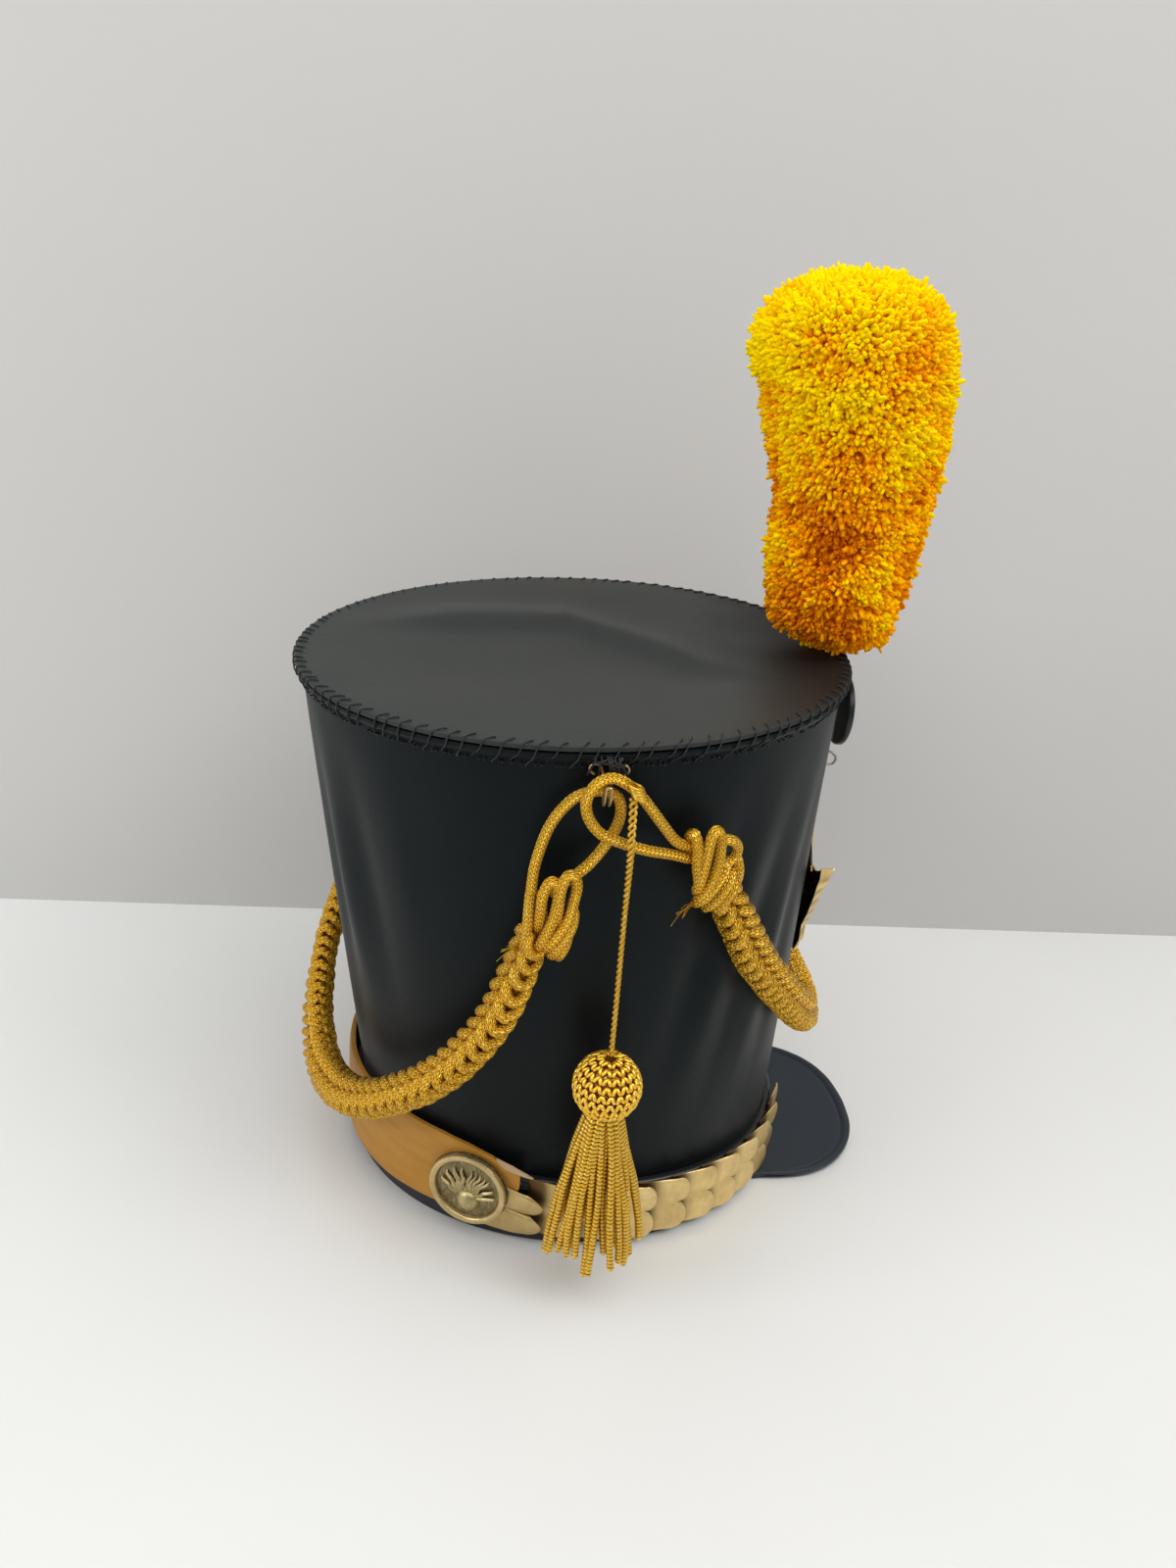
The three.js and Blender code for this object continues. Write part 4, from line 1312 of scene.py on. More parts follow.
def build_boss():
    """A turned boss with a raised rim, a ball and wavy flames on a dark backing disc."""
    r = BOSS_RADIUS
    profiles = (
        ("boss_ground", [(0.0, 1.5), (7.0, 1.7), (r - 4.4, 1.5), (r - 3.6, 1.4), (r - 3.2, 2.2)]),
        ("boss_rim_brass", [
            (r - 3.3, 1.0), (r - 3.3, 2.6), (r - 2.9, 3.2), (r - 2.2, 3.5), (r - 1.2, 3.5),
            (r - 0.5, 3.1), (r - 0.2, 2.3), (r - 0.3, 1.2), (r - 1.2, 0.9),
        ]),
        ("dark_brass", [
            (0.0, 0.05), (r - 1.2, 0.05), (r, 0.3), (r, 1.0), (r - 0.8, 1.25), (r - 3.0, 1.25),
        ]),
    )
    parts = []
    for finish_name, profile in profiles:
        spun(profile)
        parts.append(named("boss_part", finish_name))
    clear_selection()
    bpy.ops.mesh.primitive_uv_sphere_add(segments=28, ring_count=16, radius=5.4 * MM)
    ball = named("boss_ball", "boss_brass")
    ball.data.transform(Matrix.Diagonal((1, 1, 0.75, 1)))
    ball.data.transform(Matrix.Translation((0.6 * MM, -5.4 * MM, 1.4 * MM)))
    parts.append(ball)
    limit = r - 5.8
    for x, y, dx, dy in FLAMES:
        wave = 1.1 if dx > 0 else -1.1
        line = []
        for part, swing, height in FLAME_LINE:
            px, py = x + dx * part + wave * swing, y - 4.0 + dy * part
            held = min(1.0, limit / math.hypot(px, py))
            line.append((px * held, py * held, height))
        parts.append(relief(line, [(0, 0.9), (0.35, 1.0), (0.8, 0.6), (1, 0.15)]))
    for k in range(9):
        x = -5.0 + 1.25 * k
        line = [
            (x * 0.5, -2.6, 2.0), (x * 0.9 + 0.5, 0.2, 2.5), (x * 1.15 - 0.5, 2.4, 2.3),
            (x * 1.35 + 0.4, 4.4, 1.8),
        ]
        parts.append(relief(line, [(0, 0.6), (0.5, 0.6), (1, 0.1)]))
    piece = joined(parts, "boss_right_turned")
    seat = on_oval(BOSS_ANGLE, BOSS_SEAT_X, BOSS_SEAT_Y, BOSS_Z)
    out = Vector((seat.x / BOSS_SEAT_X**2, seat.y / BOSS_SEAT_Y**2, 0)).normalized()
    across = Vector((0, 0, 1)).cross(out)
    turn = turned(across, Vector((0, 0, 1)), out)
    piece.data.transform(Matrix.Translation(placed(seat)) @ turn)
    smooth(piece, 35)
    other = twin(piece, "boss_left_turned")
    belongs(piece, "antique_brass", "boss_right")
    belongs(other, "antique_brass", "boss_left")


# ---- front plate, cockade and plume ----

PLATE_FOOT, WING_TOP, PLATE_Y = 103, 163, -102.9
# A wing's outer and inner edge and the crest's: height, or part of it, and reach to the side.
WING_OUTER = [
    (PLATE_FOOT, 2), (107, 9), (115, 15), (124, 16), (134, 23), (147, 30), (158, 34.2),
    (WING_TOP, 33.6),
]
WING_INNER = [(151, 12.5), (157, 23.5), (WING_TOP, 33.2)]
CREST_HALF = [(0, 12.4), (0.5, 6.2), (0.9, 1.4), (1, 0.4)]


def plate_rib(across, height):
    """The feathers' ribs, from 0 between them to 1 on their ridges."""
    return abs(math.sin((across * 0.9 + (height - PLATE_FOOT) * 0.55) * 0.42))


def build_front_plate():
    """A plain winged plate of sheet brass: feathered wings and a ribbed middle."""
    parts = []
    for sign in (1, -1):
        wing = plain_grid(40, 64)
        named("wing", "scale_brass")

        def settle(u, v, z, sign=sign):
            height = mix(103.2, WING_TOP, v)
            up = height - PLATE_FOOT
            inner = 0.0 if height < WING_INNER[0][0] else from_table(WING_INNER, height)
            x = mix(inner, from_table(WING_OUTER, height), u)
            dome = 2.0 * math.sin(math.pi * min(1.0, u * 0.92 + 0.08)) * min(1, up / 12)
            flange = 3.4 * max(0.0, (u - 0.9) / 0.1) ** 1.5 * min(1.0, up / 50)
            rib = plate_rib(x, height) * (u < 0.9)
            return -sign * x, PLATE_Y - dome - rib + flange, height

        reshape(wing, settle)
        parts.append(wing)
    crest = plain_grid(28, 28)
    named("crest", "scale_brass")

    def raise_crest(u, v, z):
        half = from_table(CREST_HALF, v)
        x = mix(-half, half, u)
        bulge = 1.6 * (1 - (x / max(half, 0.5)) ** 2)
        return x, -103.2 - bulge, mix(150.6, 165.5, v)

    reshape(crest, raise_crest)
    parts.append(crest)
    piece = joined(parts, "front_plate_brass")
    select_only(piece)
    for polygon in piece.data.polygons:
        if polygon.normal.y > 0:
            polygon.flip()
    piece.data.update()
    thicken(piece, 0.0008)
    piece.data.materials.append(finish("dark_brass"))
    for polygon in piece.data.polygons:
        polygon.material_index = int(polygon.normal.y > 0.35)
    # Painted shade: the tone darkens the brass between the feathers' ribs.
    tones = []
    for vertex in piece.data.vertices:
        rib = plate_rib(abs(vertex.co.x) / MM, vertex.co.z / MM)
        tones.append(mix(0.5, 1.0, rib))
    add_tone(piece.data, tones)
    smooth(piece)
    return belongs(piece, "scale_brass", "front_plate")


COCKADE_RADIUS, COCKADE_PLEATS, COCKADE_PLACE = 16.0, 24, (0, -104.4, 226)


def build_cockade():
    """A black disc of pleated ribbon inside a raised rim."""
    r = COCKADE_RADIUS
    piece = spun([
        (0.0, 0.0), (r - 0.4, 0.0), (r, 0.6), (r, 2.2), (r - 0.5, 2.8), (r - 1.6, 2.8),
        (r - 2.2, 2.1), (r - 3.4, 1.7), (9.0, 2.1), (5.0, 2.2), (4.4, 2.7), (2.2, 3.0), (0.0, 3.1),
    ], 96)
    named("cockade_ribbon", "band_leather")
    for vertex in piece.data.vertices:
        x, y, z = vertex.co / MM
        reach = math.hypot(x, y)
        if z > 1.0 and 4.6 < reach < r - 2.4:
            vertex.co.z += 0.35 * MM * math.cos(COCKADE_PLEATS * math.atan2(y, x))
    turn = Matrix.Rotation(math.radians(90), 4, "X")
    piece.data.transform(Matrix.Translation(placed(COCKADE_PLACE)) @ turn)
    smooth(piece, 35)
    return belongs(piece, "black_leather", "cockade")


PLUME_Y = -102.6
TUFT_ROOT = 6.0  # how deep a tuft starts under the skin
TUFT_RINGS = ((0.25, 0.85), (0.72, 1.12), (1.0, 0.8))  # part of the way along, and thickness
# The skin the tufts grow from, which their tips stand about 4 mm out of: height, radius, and
# how far its middle lies behind the plume's foot.
SKIN_ROWS = [
    (255.5, 2, 4), (257.5, 11, 5), (261, 19.5, 7.5), (267, 25, 9.5), (280, 28, 9.5),
    (300, 29.5, 9.5), (322, 31.5, 10), (345, 34.5, 12.5), (364, 36.5, 16.5), (378, 36.5, 19.5),
    (388, 33, 20), (395, 26, 19), (399.5, 14, 18), (401, 2, 17),
]
SKIN_WIDTH = [(z, r) for z, r, _ in SKIN_ROWS]
SKIN_LEAN = [(z, back) for z, _, back in SKIN_ROWS]


def plume_tuft(angle, z, rng):
    """Rings of a tuft: its middle, half thickness and tone, and the two ways across it."""
    radius = from_table(SKIN_WIDTH, z)
    slope = (from_table(SKIN_WIDTH, z + 2) - from_table(SKIN_WIDTH, z - 2)) / 4
    out = Vector((math.cos(angle), math.sin(angle), -slope)).normalized()
    skin = Vector((math.cos(angle) * radius, math.sin(angle) * radius, z))
    clump = noise.noise(skin * 0.05)
    fine = noise.noise(skin * 0.17)
    high = min(1.0, max(0.0, (z - 300) / 80))
    reach = mix(3.4, 4.8, high) + 2.4 * clump + 2.2 * fine + rng.uniform(-0.9, 0.9)
    stray = Vector([rng.uniform(-1, 1) for _ in range(3)])
    way = (out + stray * mix(0.75, 0.5, high)).normalized()
    bend = Vector((rng.uniform(-1, 1), rng.uniform(-1, 1), rng.uniform(-1.4, 0.8))) * 1.6
    foot = skin - out * TUFT_ROOT
    foot.y += PLUME_Y + from_table(SKIN_LEAN, z)
    tint = mix(0.29, 0.80, high) + 0.55 * clump + 0.36 * fine + rng.uniform(-0.16, 0.16)
    side = way.cross(Vector((0.2, 0.3, 1))).normalized()
    thick = rng.uniform(0.72, 1.16)
    rings = []
    # The tone falls toward the tuft's root: painted shade deep in the plume. It is also lighter
    # toward the top and varies at random in clumps.
    for part, wide in TUFT_RINGS:
        middle = foot + way * (4.0 + reach) * part + bend * part * part
        rings.append((middle, thick * wide, min(1.0, max(0.0, tint * mix(0.25, 1.15, part)))))
    return rings, side, way.cross(side)


def build_tufts(name, first, last, rng):
    """One piece of tufts, those numbered first to last of all, spread evenly over the plume."""
    levels = [mix(256.5, 400.6, k / 200) for k in range(201)]
    shares = [0.0]
    for a, b in zip(levels, levels[1:]):
        drop = from_table(SKIN_WIDTH, b) - from_table(SKIN_WIDTH, a)
        shares.append(shares[-1] + from_table(SKIN_WIDTH, (a + b) / 2) * math.hypot(b - a, drop))
    verts, faces, tones = [], [], []
    level = 0
    for k in range(first, last):
        goal = shares[-1] * (k + 0.5) / sizes().tufts
        while shares[level + 1] < goal:
            level += 1
        part = (goal - shares[level]) / (shares[level + 1] - shares[level])
        z = mix(levels[level], levels[level + 1], part)
        angle = math.pi * (3 - math.sqrt(5)) * k + rng.uniform(-0.05, 0.05)
        rings, side, other = plume_tuft(angle, z, rng)
        start = len(verts)
        for middle, thick, tone in rings:
            for j in range(4):
                a = math.pi / 2 * j
                verts.append(placed(middle + (side * math.cos(a) + other * math.sin(a)) * thick))
                tones.append(tone)
        for row in (start, start + 4):
            faces += [(row + j, row + (j + 1) % 4, row + 4 + (j + 1) % 4, row + 4 + j)
                      for j in range(4)]
        faces.append(tuple(range(start + 8, start + 12)))
    return belongs(new_piece(name, "plume_wool", verts, faces, tones), "plume_wool")


def build_plume():
    """A core of wool, and thousands of small tufts that stand out of it in clumps."""
    rows = []
    for k in range(60):
        z = mix(258.5, 397.5, k / 59)
        radius = max(1.2, from_table(SKIN_WIDTH, z) - 3.6)
        rows.append((radius, radius, 0.0, z))
    core = ring_tube(rows, 72)
    named("plume_core", "plume_wool")

    def settle(x, y, z):
        lump = 1 + 0.05 * noise.noise(Vector((x, y, z)) * 0.07)
        return x * lump, y * lump + PLUME_Y + from_table(SKIN_LEAN, z), z

    reshape(core, settle)
    edit_whole(core)
    bpy.ops.mesh.fill_holes(sides=0)
    bpy.ops.object.mode_set(mode="OBJECT")
    face_out(core)
    # Its tone is 0, so the core takes the wool's darkest colour: painted shade deep inside the
    # plume.
    core.data.attributes.new("tone", "FLOAT", "POINT")
    smooth(core, 60)
    belongs(core, "plume_wool", "plume")
    rng = random.Random(3)
    half = sizes().tufts // 2
    build_tufts("plume_tufts_low", 0, half, rng)
    build_tufts("plume_tufts_high", half, sizes().tufts, rng)


# ---- hooks ----

# A hook's middle and lean, and half its wire: along the wall, out of it and up from there.
HOOK_X, HOOK_Y, HOOK_Z, HOOK_LEAN = 114.6, 10.5, 238.4, 0.14
HOOK_HALF = [
    (4.6, 0, -1.9), (6.4, 0, -0.6), (6.6, 0, 1.2), (5.2, 0, 2.3), (3.4, 0, 1.9), (2.6, 0, 0.2),
    (1.7, 0, -2.6), (1.2, 0, -7), (1, 0.6, -10.4), (1, 3, -12.4), (1, 5.4, -10.6), (1, 6, -7),
    (0.8, 5.9, -4.6),
]


def build_hooks():
    """A bent wire hook on each side, and the thread that lashes its eyes to the leather."""

    def point(along, out, up):
        return (-HOOK_X - out - HOOK_LEAN * up, HOOK_Y + along, HOOK_Z + up)

    line = [point(a, out, up) for a, out, up in HOOK_HALF]
    line += [point(-a, out, up) for a, out, up in reversed(HOOK_HALF)]
    line = catmull(line, 8)
    wire = sweep("hook_right_wire", "hook_brass",
                 [{"points": line, "radius": rounded(0.5, len(line), 3)}], 12)
    rng = random.Random(21)
    runs = []
    for _ in range(12):
        start = rng.uniform(-5.6, 5.6)
        end = start + rng.uniform(-3.4, 3.4)
        runs.append({"points": catmull([
            point(start, -0.2, 5.4), point(start * 0.8 + end * 0.1, 0.9, 4.2),
            point((start + end) / 2, 1.3 + rng.uniform(-0.2, 0.3), 1.6), point(end, 0.7, -1.0),
            point(end, -0.6, -2.4)], 3), "radius": 0.38})
    for k in range(4):
        along = -3.0 + 2.0 * k
        runs.append({"points": catmull([
            point(along - 2.5, 0.6, 3.4 + 0.5 * k), point(along, 1.5, 2.0 + 0.6 * k),
            point(along + 2.5, 0.8, 3.0)], 3), "radius": 0.4})
    thread = sweep("hook_right_lashing", "black_thread", runs, 6)
    belongs(twin(wire, "hook_left_wire"), "hook_brass", "hook_left")
    belongs(twin(thread, "hook_left_lashing"), "black_leather")
    belongs(wire, "hook_brass", "hook_right")
    belongs(thread, "black_leather")


# ---- festoons and tassel ----


def build_loop(side, which, points):
    """A free loop of gold cord that hangs on the hook."""
    route = points if side == "right" else mirrored(points)
    line = Route(route).spaced(1.2)
    piece = sweep(f"loop_{which}_{side}", "gold_cord", [{"points": line, "radius": CORD / 2}], 20)
    belongs(piece, "gold_cord", f"festoon_{which}_loop_{side}")
    Route(route).length * MM
    return piece


# A cord of the plait from the middle to the edge and round it: parts of a pitch along,
# mm to the side, mm above the middle.
LEAF = [
    (-0.42, 0.2, 0.4), (-0.24, 0.9, 2.2), (0.0, 2.3, 3.7), (0.24, 4.1, 4.2), (0.44, 5.7, 3.4),
    (0.56, 6.7, 1.5), (0.56, 6.6, -0.4), (0.46, 5.2, -1.4),
]
# Tone along each plait cord, low at its ends where it dives under its neighbours: painted shade.
LEAF_TONE = [(0, 0.0), (0.14, 0.3), (0.28, 0.9), (0.42, 1.0), (0.75, 1.0), (0.9, 0.6), (1, 0.2)]
LEAF_RADIUS = 2.45  # at most
FILLING, FILLING_RADIUS = (-2.7, 0.0, 2.7), 2.3  # straight cords inside: places across, radius


def plait(name, route, pitches, roll, stretches, node, with_pieces):
    """A herringbone plait: two columns of slanting cords on each face, over a filling of
    straight cords. pitches and roll go by the part of the way along; roll turns the face up.
    stretches say how long the cords of the upper and the lower column slant."""
    rng = random.Random(17)
    line = Route(route)
    runs = []

    def frame_at(distance):
        middle, heading = line.at(distance)
        radial = outward(middle, CROWN_Y * 0.4)
        radial = (radial - heading * radial.dot(heading)).normalized()
        turn = math.radians(from_table(roll, distance / line.length))
        face = Matrix.Rotation(turn, 3, heading) @ radial
        return middle, face, heading.cross(face)

    def strand(stations, radius, tone):
        points = []
        for along, wide, high in stations:
            along = min(max(along, -1.5), line.length + 1.5)
            middle, face, across = frame_at(along)
            points.append(middle + across * wide + face * high)
        runs.append({"points": points, "radius": rounded(radius, len(points), 3), "tone": tone})

    shade = [from_table(LEAF_TONE, i / 14) for i in range(15)]
    for sign, face, shift in ((1, 1, 0.0), (-1, 1, 0.5), (1, -1, 0.0), (-1, -1, 0.5)):
        stretch = stretches[0] if sign > 0 else stretches[1]
        start = -4.0
        while start < line.length + 2.0:
            share = start / line.length
            pitch = from_table(pitches, share)
            scale = from_table(SWELL, share)
            radius = min(LEAF_RADIUS, 0.34 * pitch) * scale
            jitter = rng.uniform(-0.3, 0.3)
            rise = rng.uniform(-0.25, 0.3)
            lean = rng.uniform(0.92, 1.1)
            strand([
                (start + (part * lean * stretch + shift) * pitch,
                 sign * (wide + jitter * wide / 6) * scale,
                 face * (high + rise * high / 4) * scale)
                for part, wide, high in catmull(LEAF, 2)
            ], radius, shade)
            start += pitch * rng.uniform(0.96, 1.04)
    # The filling takes a low tone, so it is painted dark: painted shade inside the plait.
    for wide in FILLING:
        stations = [(line.length * i / 60, wide, 0.0) for i in range(61)]
        strand(stations, FILLING_RADIUS, [0.1] * len(stations))
    piece = sweep(name, "gold_cord", runs, 9)
    belongs(piece, "gold_cord", node)
    path = line.spaced(3.0)
    return piece


# Wraps of cord at each knot, in mm from its middle: along the wall toward the front, up, out.
FRONT_WRAPS = [
    [(-11, 13, 0), (-9.6, 16.5, 2.5), (-8.2, 12, 4.2), (-7.4, 4, 4.6), (-5.2, -4, 4),
     (-3.6, -9, 1.5)],
    [(-5.6, -9, 2), (-5.2, -2, 4.8), (-4.6, 8, 5.6), (-3.6, 15, 5), (-1.2, 17.6, 4.2),
     (0.9, 13.6, 4.8), (0.6, 4, 5.6), (-1.2, -4.5, 5.4), (-3.2, -10, 3.6), (-4.0, -12.5, 0.5)],
    [(-1, 12, 2.5), (2.5, 13.2, 3.8), (6.2, 12.6, 4.2), (9.2, 9.4, 3.6), (8.8, 5.2, 3.2),
     (5, 3.2, 3.6), (1, 4, 3)],
    [(7, 4, 2), (4.5, 0, 4.6), (0.6, -5, 5.6), (-2.2, -9.5, 4.6), (-3.4, -12.5, 2),
     (-3.4, -13.5, 0)],
    [(9.4, 1.5, 1.5), (7.6, -3.5, 4.6), (4.2, -9, 5.2), (2.0, -13.2, 3.8), (1.2, -15.4, 1.6),
     (1.2, -16.2, 0)],
    [(11.4, -3, 1), (9.8, -8, 4), (7.2, -12.5, 4.2), (5.6, -15.8, 2.6), (5.2, -17.4, 0.4)],
    [(10.5, 6, 0.5), (11.5, 1, 3), (12.4, -4, 2.4), (12.6, -9, 0.5)],
    [(-11, 9, 0), (-8, 7, 0), (-4, 2, 0), (1, -4, 0.5), (5, -10, 1), (8, -16, 1)],
]
BACK_WRAPS = [
    [(-0.5, -8, 1.5), (0.4, 2, 4.2), (0.8, 10, 4.8), (2.6, 15.2, 4.4), (5, 15, 4), (6.2, 10, 4.4),
     (5.2, 1, 5), (2.6, -7, 4.6), (0.2, -12, 3), (-0.8, -14.5, 0.5)],
    [(6, -4, 2.5), (6.6, 4, 4.6), (6.9, 13, 5), (8.6, 18.6, 4.4), (11.2, 18.4, 3.6), (12.3, 14, 3),
     (11.6, 8, 3.2), (10.5, 1, 4.4), (7, -6, 5), (4, -10.8, 3.8), (2.6, -13.6, 0.8)],
    [(11.8, 6, 1), (12.2, 0, 3.2), (10.4, -6, 4.6), (7.8, -11.2, 4.4), (6, -14.6, 2.6),
     (5.4, -16, 0.4)],
    [(-3.8, 12, 2.2), (-4.0, 6, 2.6), (-3.9, -1, 3.4), (-4.0, -8, 3.6), (-4.6, -12.5, 2.0),
     (-4.8, -14.5, 0)],
    [(11, -5, 0.5), (10.4, -9, 3.2), (9.2, -13, 3), (8.2, -15.6, 1.4), (7.8, -16.8, 0)],
    [(-1, 10, 0), (0, 4, 0), (1, -4, 0.5), (0, -12, 0.5), (-1, -18, 0)],
]
FRONT_KNOT = (-109.5, -31.0, 199.0)
BACK_KNOT = (-117.2, 30.0, 181.5)
WRAP_RADIUS, FRAY_RADIUS = 2.05, 0.13


def build_knot(which, place, wraps):
    """Wraps of gold cord round the ends of a loop on each side, with a few frayed threads."""
    middle = Vector(place)
    out = outward(middle, CROWN_Y * 0.7)
    along = Vector((-out.y, out.x, 0))
    runs = []
    for wrap in wraps:
        line = catmull(
            [middle + along * a + Vector((0, 0, u)) + out * (o - 2.2) for a, u, o in wrap], 5
        )
        runs.append({"points": line, "radius": rounded(WRAP_RADIUS, len(line), 3)})
    rng = random.Random(31)
    for _ in range(9):
        end = middle + along * (-6.0 - rng.uniform(3, 8)) + out * rng.uniform(0.5, 3.0)
        end += Vector((0, 0, -12.5 + rng.uniform(-8, 0.5)))
        start = middle + along * -4.0 + Vector((0, 0, -12.0))
        bend = (start + end) / 2 + Vector((0, rng.uniform(-1, 1), rng.uniform(0, 1.5)))
        runs.append({"points": catmull([start, bend, end], 3), "radius": FRAY_RADIUS})
    piece = sweep(f"knot_{which}_right", "gold_cord", runs, 14)
    other = twin(piece, f"knot_{which}_left")
    belongs(piece, "gold_cord", f"festoon_{which}_knot_right")
    belongs(other, "gold_cord", f"festoon_{which}_knot_left")
    return [piece, other]


# Turn of each plait's face in degrees, pitch of its cords in mm, and their thickness, each by
# the part of the way along.
FRONT_ROLL = [(0, -2), (0.12, -8), (0.3, -12), (0.5, -14), (0.7, -12), (0.88, -8), (1, -2)]
BACK_ROLL = [
    (0, 46), (0.06, 56), (0.22, 58), (0.34, 52), (0.45, 30), (0.55, 14), (0.7, 18),
    (0.85, 30), (1, 40),
]
FRONT_PITCHES = [(0, 6.8), (0.15, 6.5), (0.85, 6.5), (1, 6.8)]
BACK_PITCHES = [(0, 7.6), (0.18, 7.4), (0.28, 6.2), (0.8, 6.0), (1, 7.0)]
SWELL = [(0, 0.8), (0.05, 0.96), (0.5, 1.0), (0.95, 0.96), (1, 0.8)]


def build_festoons():
    """Both plaited festoons with their loops and knots."""
    for side in ("right", "left"):
        build_loop(side, "front", FRONT_LOOP)
        build_loop(side, "back", BACK_LOOP)
    whole = FRONT_BRAID + mirrored(FRONT_BRAID[:-1])[::-1]
    plait("plait_front", whole, FRONT_PITCHES, FRONT_ROLL, (1.0, 1.0), "festoon_front_braid",
          build_knot("front", FRONT_KNOT, FRONT_WRAPS))
    plait("plait_back", BACK_BRAID, BACK_PITCHES, BACK_ROLL, (1.55, 1.2), "festoon_back_braid",
          build_knot("back", BACK_KNOT, BACK_WRAPS))


BALL_ROUNDS = 10
STRAND_STEP = 0.58
# Radius and tone of a strand's coils, in turn, the narrow turn's tone 0 being painted shade in the
# groove between coils; then how far the skirt spreads on its way down.
COILS = ((0.96, 0.0), (1.52, 0.9), (1.56, 1.0))
SKIRT = [(0, 4.4), (0.08, 7.2), (0.25, 10.4), (0.55, 15.2), (0.85, 18.6), (1, 19.6)]
TASSEL_ROOM = 11.4  # the body's wall stops the strands this far in from the tassel's middle


def tassel_ply(line, phase):
    """One of the two threads of the tassel's cord, laid flat and wide near the hook."""
    step, turn = 0.7, 5.2
    points = []
    for i in range(int(line.length / step) + 1):
        distance = min(line.length, i * step)
        middle, heading = line.at(distance)
        side = Vector((0, 1, 0))
        side = (side - heading * side.dot(heading)).normalized()
        other = heading.cross(side)
        flat = 1.0 + 1.1 * max(0.0, 1 - distance / 45)
        a = phase + 2 * math.pi * distance / turn
        points.append(middle + side * math.cos(a) * 0.55 * flat + other * math.sin(a) * 0.5)
    return {"points": points, "radius": 0.62, "tone": [0.6] * len(points)}


def binding_turn(k):
    """One turn of the thread bound round the top of the tassel's cord."""
    points = []
    for j in range(9):
        a = 2 * math.pi * j / 8
        points.append((-122.4 + 2.6 * math.cos(a), 2.0 - 2.7 * math.sin(a) - 0.5 * k,
                       236.4 - 1.05 * k - 0.8 * math.sin(a)))
    return {"points": points, "radius": 0.5, "tone": [0.7] * len(points)}


def ball_stitch(start, way, lift, count, rng):
    """One leg of a crochet stitch on the ball, which slants up to one side."""
    points = []
    for part in (0.0, 0.35, 0.7, 1.0):
        a = start + way * (0.06 + 0.42 * part) * 2 * math.pi / count
        b = lift + math.radians(mix(-6.5, 8.0, part))
        reach = BALL_RADIUS - 1.35 + 0.75 * math.sin(math.pi * (0.15 + 0.8 * part))
        reach += rng.uniform(-0.12, 0.12)
        points.append((
            TASSEL_X + reach * math.cos(b) * math.cos(a),
            TASSEL_Y + reach * math.cos(b) * math.sin(a),
            BALL_Z + reach * math.sin(b),
        ))
    line = catmull(points, 2)
    return {"points": line, "radius": rounded(0.78, len(line), 2)}


def ball_stitches(rng):
    """Rounds of stitches, each round half a stitch on from the one below."""
    stitches = []
    for row in range(BALL_ROUNDS):
        lift = math.radians(mix(-66, 72, row / (BALL_ROUNDS - 1)))
        ring = (BALL_RADIUS - 1.0) * math.cos(lift)
        count = max(7, round(2 * math.pi * ring / 3.5))
        for k in range(count):
            start = 2 * math.pi * (k + 0.5 * (row % 2)) / count
            stitches += [ball_stitch(start, way, lift, count, rng) for way in (-1, 1)]
    return stitches


def tassel_strand(k, count, layer, rng):
    """A coiled strand of the skirt; the inner layer hangs closer and ends a little higher."""
    a = 2 * math.pi * (k + 0.5 * layer + rng.uniform(-0.28, 0.28)) / count
    foot = rng.uniform(20.0, 32.0) + 2.0 * layer
    wide = rng.uniform(0.78, 1.08) * (1 - 0.36 * layer)
    lean = rng.uniform(-2.2, 2.2)
    points, radii, tone = [], [], []
    top = BALL_Z - BALL_RADIUS + 3.0
    length = top - foot
    steps = int(length / STRAND_STEP)
    for i in range(steps + 1):
        part = i / steps
        reach = from_table(SKIRT, part) * wide
        x = TASSEL_X + 0.66 * reach * math.cos(a) + 0.4 * math.sin(part * 5 + k)
        y = TASSEL_Y - 2 * part + reach * math.sin(a) + lean * part * part
        y += 0.6 * math.sin(part * 6 + k * 1.7)
        points.append((min(x, TASSEL_X + TASSEL_ROOM), y, top - length * part))
        radius, shade = COILS[i % 3]
        radii.append(radius)
        tone.append(shade)
    for j, small in enumerate((0.5, 0.8)):
        radii[-1 - j] = min(radii[-1 - j], 1.4 * small)
    return {"points": points, "radius": radii, "tone": tone}


def build_tassel():
    """The tassel: a two-ply cord with a small binding, a crocheted ball and coiled strands."""
    rng = random.Random(9)
    line = Route(TASSEL_DROP)
    plies = [tassel_ply(line, phase) for phase in (0.0, math.pi)]
    cord = sweep("tassel_cord_twist", "gold_bullion", plies, 8)
    belongs(cord, "gold_cord", "tassel_cord")
    turns = [binding_turn(k) for k in range(5)]
    binding = sweep("tassel_cord_binding", "gold_bullion", turns, 8)
    belongs(binding, "gold_cord")

    clear_selection()
    core_radius = (BALL_RADIUS - 1.7) * MM
    bpy.ops.mesh.primitive_uv_sphere_add(segments=32, ring_count=20, radius=core_radius)
    core = named("ball_core", "gold_bullion")
    # Its tone is 0, so the core takes the bullion's darkest colour: painted shade between the
    # ball's stitches.
    core.data.attributes.new("tone", "FLOAT", "POINT")
    core.data.transform(Matrix.Translation(placed((TASSEL_X, TASSEL_Y, BALL_Z))))
    cover = sweep("ball_cover", "gold_bullion", ball_stitches(rng), 6)
    belongs(cover, "gold_cord", "tassel_ball")
    ball = belongs(core, "gold_cord")

    outer = sizes().strands
    strands = [
        tassel_strand(k, count, layer, rng)
        for layer, count in ((0, outer), (1, outer // 2))
        for k in range(count)
    ]
    belongs(sweep("tassel_strands", "gold_bullion", strands, 8), "gold_cord", "tassel_skirt")
    route = line.spaced(2.0)


# ---- wire pieces kept from the CAD ----


